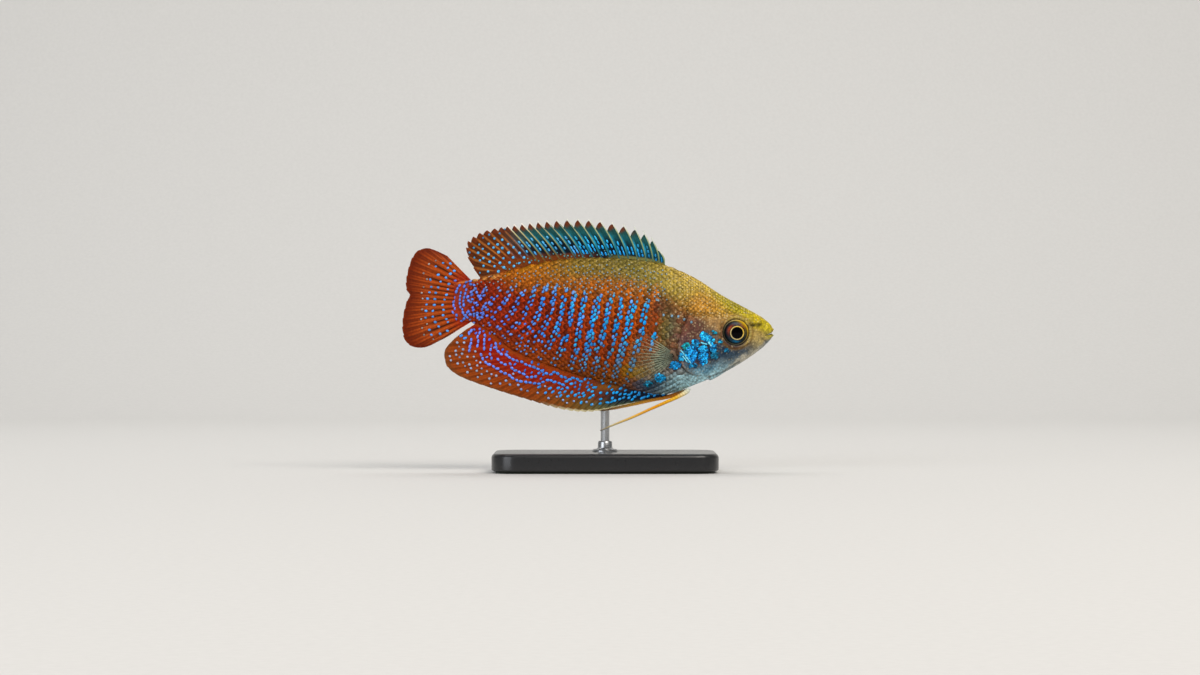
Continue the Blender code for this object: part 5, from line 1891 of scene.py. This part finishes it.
# Caudal fin. A fan of forking rays with two blunt lobes and a shallow notch between them; its
# base is red skin, which the tail stalk's wedge runs out into. Tinted thin resin, rust at the
# margin with black streaks between the rays, and rows of pearl spots across it.
CAUDAL_RAYS = 17
CAUDAL_ROOT = 61.9
# Ray, height of its root, distance and height of its tip
CAUDAL = (
    (1, 9.25, 66.8, 14.2),
    (2, 8.9, 70.3, 15.7),
    (3, 8.5, 72.6, 15.4),
    (4, 8.0, 74.0, 13.8),
    (6, 7.0, 75.1, 10.1),
    (8, 5.9, 75.2, 7.4),
    (9, 5.3, 74.5, 6.05),
    (10, 4.7, 75.1, 4.9),
    (12, 3.5, 75.9, 1.4),
    (14, 2.3, 75.8, -2.2),
    (15, 1.7, 74.6, -4.1),
    (16, 1.1, 71.5, -4.6),
    (17, 0.6, 66.6, -2.3),
)
CAUDAL_SWAY = (0.9, 3.4)
CAUDAL_STEPS = 14
CAUDAL_SEED = 53
CAUDAL_CHAINS = (
    ((64.2, 8.1), (64.8, 7.2), (65.0, 6.1), (65.3, 5.0), (65.7, 4.2), (65.0, 3.7), (65.6, 2.6),
     (64.8, 2.1), (64.9, 1.0), (64.3, 0.7), (63.4, 1.0), (63.1, 1.7), (62.6, 2.6)),
    ((64.2, 9.4), (64.7, 9.5), (65.1, 9.1)),
    ((63.2, 7.9), (62.8, 8.8), (62.0, 8.9)),
    ((62.8, 7.2), (63.1, 6.0), (63.4, 5.0), (63.3, 4.1)),
    ((63.7, 10.8), (62.8, 10.4)),
)
CAUDAL_DOTS = (
    (65.3, 11.1), (66.1, 10.5), (66.4, 8.4), (66.9, 6.2), (67.7, 4.1), (67.6, 2.0), (66.6, 0.6),
    (66.7, -1.2), (66.1, 12.6), (66.6, 11.7), (67.0, 9.7), (68.6, 7.7), (69.3, 5.3), (69.7, 2.9),
    (69.7, 1.7), (68.5, -0.3), (68.2, -1.8), (67.6, 12.7), (69.1, 12.0), (68.6, 10.3),
    (70.0, 7.8), (70.8, 5.4), (71.1, 2.9), (71.2, 1.5), (70.4, -1.0), (70.0, -2.0),
    (66.6, 7.3), (67.3, 5.2), (67.5, 3.1), (68.1, 8.9), (69.1, 6.6), (69.4, 4.1), (69.2, 0.6),
    (70.2, 9.3), (70.4, 6.7), (71.0, 4.2), (66.9, 1.2),
)
CAUDAL_SPECKS = (
    (69.1, 13.2), (70.5, 12.5), (70.9, 9.4), (71.6, 7.8), (71.8, 5.4), (72.1, 1.2), (71.5, -2.0),
    (71.6, 10.6), (72.0, 6.6), (71.9, 3.2), (70.9, 0.2), (71.9, -0.6), (69.6, -2.9),
)
# The skin of the stalk covers the fin's root up to here, and carries the chains there
STALK_LAST = 65.0
STALK_CHAINS = (
    ((61.9, 8.3), (61.3, 8.3), (60.9, 7.6), (60.6, 6.6), (60.2, 5.6), (59.6, 6.4), (59.1, 7.3)),
    ((62.3, 5.0), (61.9, 4.5), (61.6, 5.4), (61.4, 5.0), (61.1, 4.5)),
    ((62.3, 2.8), (61.9, 2.2), (61.2, 2.3), (60.3, 2.5), (60.7, 1.7), (59.6, 1.6)),
    ((59.3, 2.5), (59.6, 3.4), (59.2, 3.8), (58.8, 4.4)),
    ((63.9, 6.6), (64.1, 5.6), (64.2, 4.6), (64.0, 3.7)),
    ((62.6, 1.6), (63.4, 2.2), (63.6, 3.2)),
)


def caudal_tint(column, share, distance, height):
    """The tinted colours of the caudal fin."""
    column, share = np.broadcast_arrays(column[:, None], share[None, :])
    hues = ("#901c04", "#9a2a06", "#a0420a", "#903a0a", "#7a2a06", "#621a04")
    tint = ramp((0.0, 0.2, 0.4, 0.62, 0.8, 1.0), hues, share)
    fork = 0.2 * fade(0.45, 0.75, share)
    rays = bell(from_ray(column) - fork, 0.11)
    tint = blend(tint, "#c4561a", 0.6 * rays * fade(0.1, 0.3, share) * fade(1.0, 0.7, share))
    streak = bell(from_ray(column) - 0.47, 0.12 + 0.02 * np.sin(column * 7))
    dark = fade(0.1, 0.34, share) * fade(0.72, 0.5, share + 0.05 * np.sin(column * 3.3))
    tint = blend(tint, "#1c0804", 0.92 * streak * dark * fade(1.5, 3.0, column))
    fine = bell(from_ray(column) - 0.36, 0.06) * fade(0.5, 0.7, share)
    tint = blend(tint, "#4a1c0c", 0.5 * fine)
    return blend(tint, "#8c3c10", 0.5 * fade(0.97, 1.0, share))


caudal_columns = np.linspace(1, CAUDAL_RAYS, (CAUDAL_RAYS - 1) * CAUDAL_STEPS + 1)
caudal_shares = np.linspace(-0.08, 1, FIN_ROWS + 8)
roots = (np.full(len(caudal_columns), CAUDAL_ROOT), between(CAUDAL, caudal_columns, 1))
tips = (between(CAUDAL, caudal_columns, 2), between(CAUDAL, caudal_columns, 3))
caudal_sheet = fin_sheet(roots, tips, caudal_columns, caudal_shares, ((1, 0.012),), CAUDAL_SWAY)
ridges = 1.2 * ray_ridges(caudal_columns, caudal_shares, 1.2, 0.45)
tints = caudal_tint(
    caudal_columns, caudal_shares, caudal_sheet[..., 0], caudal_sheet[..., 2]
)
caudal = fin_piece("caudal_membrane", caudal_sheet, ridges, caudal_shares, membrane, tints)
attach(caudal, "root")
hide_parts("caudal_fin")

random = np.random.default_rng(CAUDAL_SEED)
rows = []
for chain in CAUDAL_CHAINS:
    spots, leans = chain_spots(chain, CHAIN_PITCH)
    for (far, high), lean in zip(spots, leans):
        if far < STALK_LAST:
            continue
        hue = np.array(linear("#6a88f0")) * random.uniform(0.65, 1.0)
        size = (0.42 * random.uniform(0.85, 1.15), 0.29 * random.uniform(0.85, 1.1))
        rows.append((far, high, lean + random.normal(0, 0.25), *size, *hue))
for far, high in CAUDAL_DOTS:
    hue = np.array(linear("#5aa4f2")) * random.uniform(0.7, 1.1)
    size = 0.3 * random.uniform(0.8, 1.15)
    rows.append((far, high, random.normal(0.1, 0.3), size * 1.15, size * 0.9, *hue))
for far, high in CAUDAL_SPECKS:
    hue = np.array(linear("#a89c98")) * random.uniform(0.6, 1.1)
    size = 0.2 * random.uniform(0.8, 1.2)
    rows.append((far, high, random.normal(0, 0.5), size * 1.2, size, *hue))
caudal_spots = fin_beads("caudal_spots", caudal_sheet, caudal_shares, pearl, rows)
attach(caudal_spots, "root")

rows, leans = [], []
for chain in (*STALK_CHAINS, *CAUDAL_CHAINS):
    spots, turns = chain_spots(chain, 0.76)
    low, top = between(BODY, spots[:, 0], 3), between(BODY, spots[:, 0], 1)
    on_stalk = (spots[:, 0] < STALK_LAST) & (spots[:, 1] > low) & (spots[:, 1] < top)
    rows.append(spots[on_stalk])
    leans.append(turns[on_stalk])
rows, leans = np.concatenate(rows), np.concatenate(leans)
for side in ("left", "right"):
    angle = angle_at(rows[:, 0], rows[:, 1])
    if side == "right":
        angle = math.pi - angle
    spots, out, along = skin_frames(rows[:, 0], angle)
    lie = np.stack([np.cos(leans), 0 * leans, np.sin(leans)], -1)
    sizes = np.tile((0.4, 0.29, 0.2), (len(rows), 1)) * random.uniform(0.8, 1.15, (len(rows), 1))
    tints = np.array(linear("#648cf0")) * random.uniform(0.65, 1.0, (len(rows), 1))
    chain = planted(
        f"stalk_spots_{side}",
        bead_shape,
        pearl,
        spots + out * BEAD_LIFT,
        out,
        lie,
        sizes,
        tints,
        skin_map(rows[:, 0], angle),
    )
    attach(chain, "root")


# Pectoral fins. Small clear fans stand out behind the gill cover, from a curled, fleshy base.
# On the model they are clear resin film with fine pale rays, so the flank shows through.
PECTORAL_RAYS = 14
PECTORAL_PLACE = (20.6, -6.4)
PECTORAL_HEIGHT = 1.5
PECTORAL_FAN = (33.0, -42.0)
PECTORAL_LENGTHS = (7.6, 9.5, 7.2)
PECTORAL_FLARE = 15.0
PECTORAL_OUT = 0.65
FILM_HALF = 0.05
FILM_STEPS, FILM_ROWS = 8, 30
PECTORAL_RAY = 0.085
# The curled base: distance, height and radius
PECTORAL_CURL = (
    (19.7, -7.6, 0.12),
    (20.0, -6.7, 0.24),
    (20.4, -5.7, 0.32),
    (20.9, -5.4, 0.34),
    (21.3, -5.9, 0.32),
    (21.5, -6.6, 0.28),
    (22.1, -7.0, 0.24),
    (22.9, -6.8, 0.1),
)

# Clear film with a faint yellow tint lets the flank show through.
film = fin_resin("clear_resin_film", 0.6, 0.1, alpha=0.14)
ray_resin = fin_resin("pale_resin_rays", 0.4, 0.15, alpha=0.85)
flare = math.radians(PECTORAL_FLARE)
fan = np.linspace(0, 1, (PECTORAL_RAYS - 1) * FILM_STEPS + 1)[:, None]
share = np.linspace(0, 1, FILM_ROWS)[None, :]
short, long, low = PECTORAL_LENGTHS
edge = short + (low - short) * fan
length = edge + (long - (short + low) / 2) * np.sin(math.pi * fan) ** 0.8
cup = 0.35 * np.sin(math.pi * fan) * share**2
slope = np.radians(PECTORAL_FAN[0] + (PECTORAL_FAN[1] - PECTORAL_FAN[0]) * fan)
reach = share * length
back = reach * np.cos(slope)
root_out = float(half_width(np.array([PECTORAL_PLACE[0]]), np.array([PECTORAL_PLACE[1]]))[0])
for side, way in (("l", 1.0), ("r", -1.0)):
    root_high = PECTORAL_PLACE[1] + PECTORAL_HEIGHT * (0.5 - fan)
    sheet = np.stack(
        [
            PECTORAL_PLACE[0] + back * math.cos(flare),
            way * (root_out + PECTORAL_OUT + back * math.sin(flare) - cup),
            root_high + reach * np.sin(slope),
        ],
        -1,
    )
    columns = 1 + fan[:, 0] * (PECTORAL_RAYS - 1)
    ridges = 0 * sheet[..., 0]
    stops = (0.0, 0.16, 0.4, 1.0)
    tints = ramp(stops, ("#342e28", "#586860", "#84988c", "#8c9888"), share[0])
    tints = np.concatenate([tints, (0.75 - 0.6 * fade(0.0, 0.45, share[0]))[:, None]], axis=1)
    tints = np.broadcast_to(tints[None], (*sheet.shape[:2], 4))
    web = fin_piece(f"pectoral_film_{side}", sheet, ridges, share[0], film, tints)
    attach(web, "root")
    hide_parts(f"pectoral_fin_{side}")
    lines, widths, colours = [], [], []
    for ray in range(PECTORAL_RAYS):
        line = sheet[ray * FILM_STEPS]
        lines.append(line)
        widths.append(PECTORAL_RAY * (1 - 0.6 * share[0]))
        hue = ramp(stops, ("#3c3830", "#8c9884", "#b8c4a4", "#a4b098"), share[0])
        lower = 0.55 * ray / (PECTORAL_RAYS - 1)
        clear = (1 - lower) * (1 - 0.7 * fade(0.3, 0.95, share[0]))
        colours.append(np.column_stack([hue, clear]))
    rays = rods(f"pectoral_rays_{side}", ray_resin, lines, widths, colours, sides=6)
    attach(rays, "root")
    curl = np.array(PECTORAL_CURL)
    at = np.linspace(0, len(curl) - 1, 50)
    far, high, radius = (np.interp(at, np.arange(len(curl)), curl[:, c]) for c in range(3))
    out = half_width(far, high) + HEAD_SWELL + 0.3
    line = np.stack([far, way * out, high], -1)
    for _ in range(3):
        line[1:-1] = (line[:-2] + line[1:-1] * 2 + line[2:]) / 4
    hue = ramp((0, 20, 35, 49), ("#3c342c", "#846a54", "#5c4c38", "#6c6450"), np.arange(50.0))
    base = rods(f"pectoral_base_{side}", spine_resin, [line], [radius], [hue], sides=12)
    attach(base, "root")


# Pelvic feelers. Each pelvic fin of a gourami is one long thread, which it feels with. On the
# model they are springy drawn rods in golden enamel, white at the root and grey at the tip.
# Distance, side, height and radius along each
NEAR_FEELER = (
    (17.3, 0.80, -12.95, 0.45),
    (17.6, 0.90, -13.55, 0.50),
    (19.0, 1.15, -14.45, 0.40),
    (21.5, 1.40, -15.60, 0.34),
    (25.0, 1.50, -17.15, 0.29),
    (29.0, 1.55, -18.95, 0.25),
    (32.5, 1.55, -20.35, 0.20),
    (35.4, 1.50, -21.60, 0.12),
)
FAR_FEELER = (
    (17.3, 0.80, -12.95, 0.45),
    (17.6, 0.90, -13.55, 0.50),
    (19.0, 1.15, -13.95, 0.44),
    (21.5, 1.20, -14.72, 0.42),
    (25.0, 1.15, -15.42, 0.38),
    (29.0, 1.10, -16.35, 0.32),
    (32.5, 1.05, -17.10, 0.26),
    (35.4, 1.00, -17.60, 0.12),
)
FEELER_STEPS = 260
JOINT_PITCH = 0.55
FEELER_STOPS = (0.0, 0.06, 0.16, 0.4, 0.66, 0.86, 1.0)
NEAR_HUES = ("#dce6e0", "#f2e8bc", "#f6c038", "#f2a018", "#eebe54", "#d2c08c", "#76706a")
# Painted light: the far feeler, in the fish's shade, is painted lighter than the near one
FAR_HUES_PAINTED_LIGHT = ("#d0d8c4", "#ecc488", "#ec8c30", "#f6a438", "#fab84c", "#d8a468", "#8c7860")

# The enamel has faint rings, as the real thread has joints.
enamel = fin_resin("golden_enamel_rods", 0.35, 0.12)
for side, way, path, hues in (
    ("r", -1.0, NEAR_FEELER, NEAR_HUES),
    ("l", 1.0, FAR_FEELER, FAR_HUES_PAINTED_LIGHT),
):
    path = np.array(path) * (1, way, 1, 1)
    knots = np.column_stack([np.arange(len(path)), path])
    at = np.linspace(0, len(path) - 1, FEELER_STEPS)
    line = np.stack([between(knots, at, c) for c in (1, 2, 3)], -1)
    radius = between(knots, at, 4)
    step = np.linalg.norm(np.diff(line, axis=0, prepend=line[:1]), axis=1)
    along = np.cumsum(step)
    ring = 1 + 0.05 * np.cos(2 * math.pi * along / JOINT_PITCH)
    hue = ramp(FEELER_STOPS, hues, along / along[-1])
    hue = hue * (0.92 + 0.08 * np.cos(2 * math.pi * along / JOINT_PITCH))[:, None]
    feeler = rods(f"feeler_{side}", enamel, [line], [radius * ring], [hue], sides=14)
    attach(feeler, "root")
    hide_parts(f"pelvic_feeler_{side}")


# Stand. A turned steel rod rises from a slab of satin black lacquered wood into the belly. The
# slab's edges are rounded over, a small flanged collar holds the rod, and felt lies under it.
BASE_SIZE = (46.0, 28.0, 4.0)
BASE_MIDDLE = 3.6
BASE_CORNER = 5.0
BASE_ROUND = 0.9
FELT_THICK = 0.5
FELT_INSET = 0.8
ROD_PLACE = (3.6, 2.45)
CORNER_STEPS, EDGE_STEPS = 16, 8
# The collar's outline: radius and height over the slab
COLLAR = (
    (0.95, -0.4), (2.6, -0.4), (2.6, 0.25), (2.45, 0.45), (1.75, 0.6), (1.5, 0.8),
    (1.45, 1.9), (1.3, 2.15), (0.95, 2.2),
)


def slab_ring(inset, height):
    """A loop round the slab, in from its outline, at a height in millimetres."""
    corner = BASE_CORNER - inset
    half = (BASE_SIZE[0] / 2 - BASE_CORNER, BASE_SIZE[1] / 2 - BASE_CORNER)
    loop = []
    for k, (sx, sy) in enumerate(((1, 1), (-1, 1), (-1, -1), (1, -1))):
        for a in np.radians(90 * k + np.linspace(0, 90, CORNER_STEPS)):
            x = BASE_MIDDLE + sx * half[0] + corner * math.cos(a)
            loop.append((x, sy * half[1] + corner * math.sin(a), height))
    return loop


def slab_piece(name, levels, material):
    """A closed slab through loops at insets and heights."""
    rings = np.array([slab_ring(inset, height) for inset, height in levels])
    around = rings.shape[1]
    points = rings.reshape(-1, 3) * MM
    faces = []
    for i in range(len(rings) - 1):
        for j in range(around):
            low, high = i * around, (i + 1) * around
            beside = (j + 1) % around
            faces.append((low + j, low + beside, high + beside, high + j))
    faces.append(tuple(range(around))[::-1])
    faces.append(tuple((len(rings) - 1) * around + j for j in range(around)))
    return new_piece(name, points, faces, material, sharp=35.0)


# Satin lacquer over fine-grained wood is nearly flat, with a soft reflection that long shallow
# waves in the sprayed coat break up, and faint rubbing marks.
lacquer, tree, shader = new_material(
    "sprayed_satin_black_lacquer", IOR=1.5, Coat_Weight=0.3, Coat_Roughness=0.12
)
where = add(tree, "ShaderNodeTexCoord").outputs["Object"]
wave = add(tree, "ShaderNodeTexNoise", {"Vector": where, "Scale": 1 / (6 * MM), "Detail": 2.0})
marks = add(
    tree, "ShaderNodeTexNoise", {"Vector": where, "Scale": 1 / (0.5 * MM), "Detail": 5.0}
)
gloss = add(tree, "ShaderNodeMapRange", {"Value": marks.outputs[0], 1: 0.3, 2: 0.7, 3: 0.26, 4: 0.4})
tree.links.new(gloss.outputs[0], shader.inputs["Roughness"])
colour = add(
    tree,
    "ShaderNodeMix",
    {"Factor": marks.outputs[0], "A": (*linear("#0c0c0d"), 1), "B": (*linear("#17171a"), 1)},
    data_type="RGBA",
)
tree.links.new(colour.outputs["Result"], shader.inputs["Base Color"])
bump = add(
    tree, "ShaderNodeBump", {"Height": wave.outputs[0], "Strength": 0.2, "Distance": 0.1 * MM}
)
tree.links.new(bump.outputs[0], shader.inputs["Normal"])

top = BASE_SIZE[2]
levels = [(0.25, FELT_THICK), (0.0, FELT_THICK + 0.25)]
for a in np.linspace(0, math.pi / 2, EDGE_STEPS):
    levels.append((BASE_ROUND * (1 - math.cos(a)), top - BASE_ROUND * (1 - math.sin(a))))
base = slab_piece("lacquered_base", levels, lacquer)
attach(base, "root")
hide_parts("stand_base")

# Pressed wool felt is matte and dark, with short tangled fibres.
felt, tree, shader = new_material("pressed_wool_felt", Roughness=1.0, IOR=1.3, Sheen_Weight=0.4)
where = add(tree, "ShaderNodeTexCoord").outputs["Object"]
fibres = add(
    tree, "ShaderNodeTexNoise", {"Vector": where, "Scale": 1 / (0.3 * MM), "Detail": 6.0}
)
colour = add(
    tree,
    "ShaderNodeMix",
    {"Factor": fibres.outputs[0], "A": (*linear("#10140f"), 1), "B": (*linear("#2c3428"), 1)},
    data_type="RGBA",
)
tree.links.new(colour.outputs["Result"], shader.inputs["Base Color"])
bump = add(
    tree, "ShaderNodeBump", {"Height": fibres.outputs[0], "Strength": 0.8, "Distance": 0.1 * MM}
)
tree.links.new(bump.outputs[0], shader.inputs["Normal"])
pad = slab_piece("felt_pad", [(FELT_INSET, 0.0), (FELT_INSET, FELT_THICK + 0.1)], felt)
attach(pad, "root")


def drawn_steel(name, light, dark, grain):
    """Steel with fine lines along or round it, in millimetres between lines per axis."""
    material, tree, shader = new_material(name, Metallic=1.0)
    where = add(tree, "ShaderNodeTexCoord").outputs["Object"]
    scaled = add(
        tree,
        "ShaderNodeVectorMath",
        {0: where, 1: tuple(1 / (step * MM) for step in grain)},
        operation="MULTIPLY",
    )
    lines = add(
        tree, "ShaderNodeTexNoise", {"Vector": scaled.outputs[0], "Scale": 1.0, "Detail": 3.0}
    )
    colour = add(
        tree,
        "ShaderNodeMix",
        {"Factor": lines.outputs[0], "A": (*linear(dark), 1), "B": (*linear(light), 1)},
        data_type="RGBA",
    )
    tree.links.new(colour.outputs["Result"], shader.inputs["Base Color"])
    gloss = add(
        tree, "ShaderNodeMapRange", {"Value": lines.outputs[0], 1: 0.3, 2: 0.7, 3: 0.2, 4: 0.34}
    )
    tree.links.new(gloss.outputs[0], shader.inputs["Roughness"])
    bump = add(
        tree, "ShaderNodeBump", {"Height": lines.outputs[0], "Strength": 0.25, "Distance": 0.02 * MM}
    )
    tree.links.new(bump.outputs[0], shader.inputs["Normal"])
    return material


# Steel drawn through a die has fine lines along it, and a turned collar has them round it.
rod_steel = drawn_steel("die_drawn_steel", "#c8cacc", "#8e9092", (0.12, 0.12, 8.0))
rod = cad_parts["stand_rod"]
for slot in rod.material_slots:
    slot.material = rod_steel
collar_steel = drawn_steel("turned_steel", "#c4c6c8", "#8a8c8e", (6.0, 6.0, 0.1))
turn = np.arange(64) / 64 * 2 * math.pi
rings = []
for radius, height in COLLAR:
    x, y = ROD_PLACE[0] + radius * np.cos(turn), ROD_PLACE[1] + radius * np.sin(turn)
    rings.append(np.stack([x, y, np.full(64, top + height)], -1))
rings = np.array(rings) * MM
count = len(rings)
points = rings.reshape(-1, 3)
faces = []
for i in range(count):
    for j in range(64):
        beside, after = (j + 1) % 64, (i + 1) % count
        faces.append((i * 64 + j, i * 64 + beside, after * 64 + beside, after * 64 + j))
collar = new_piece("steel_collar", points, faces, collar_steel, sharp=30.0)
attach(collar, "root")
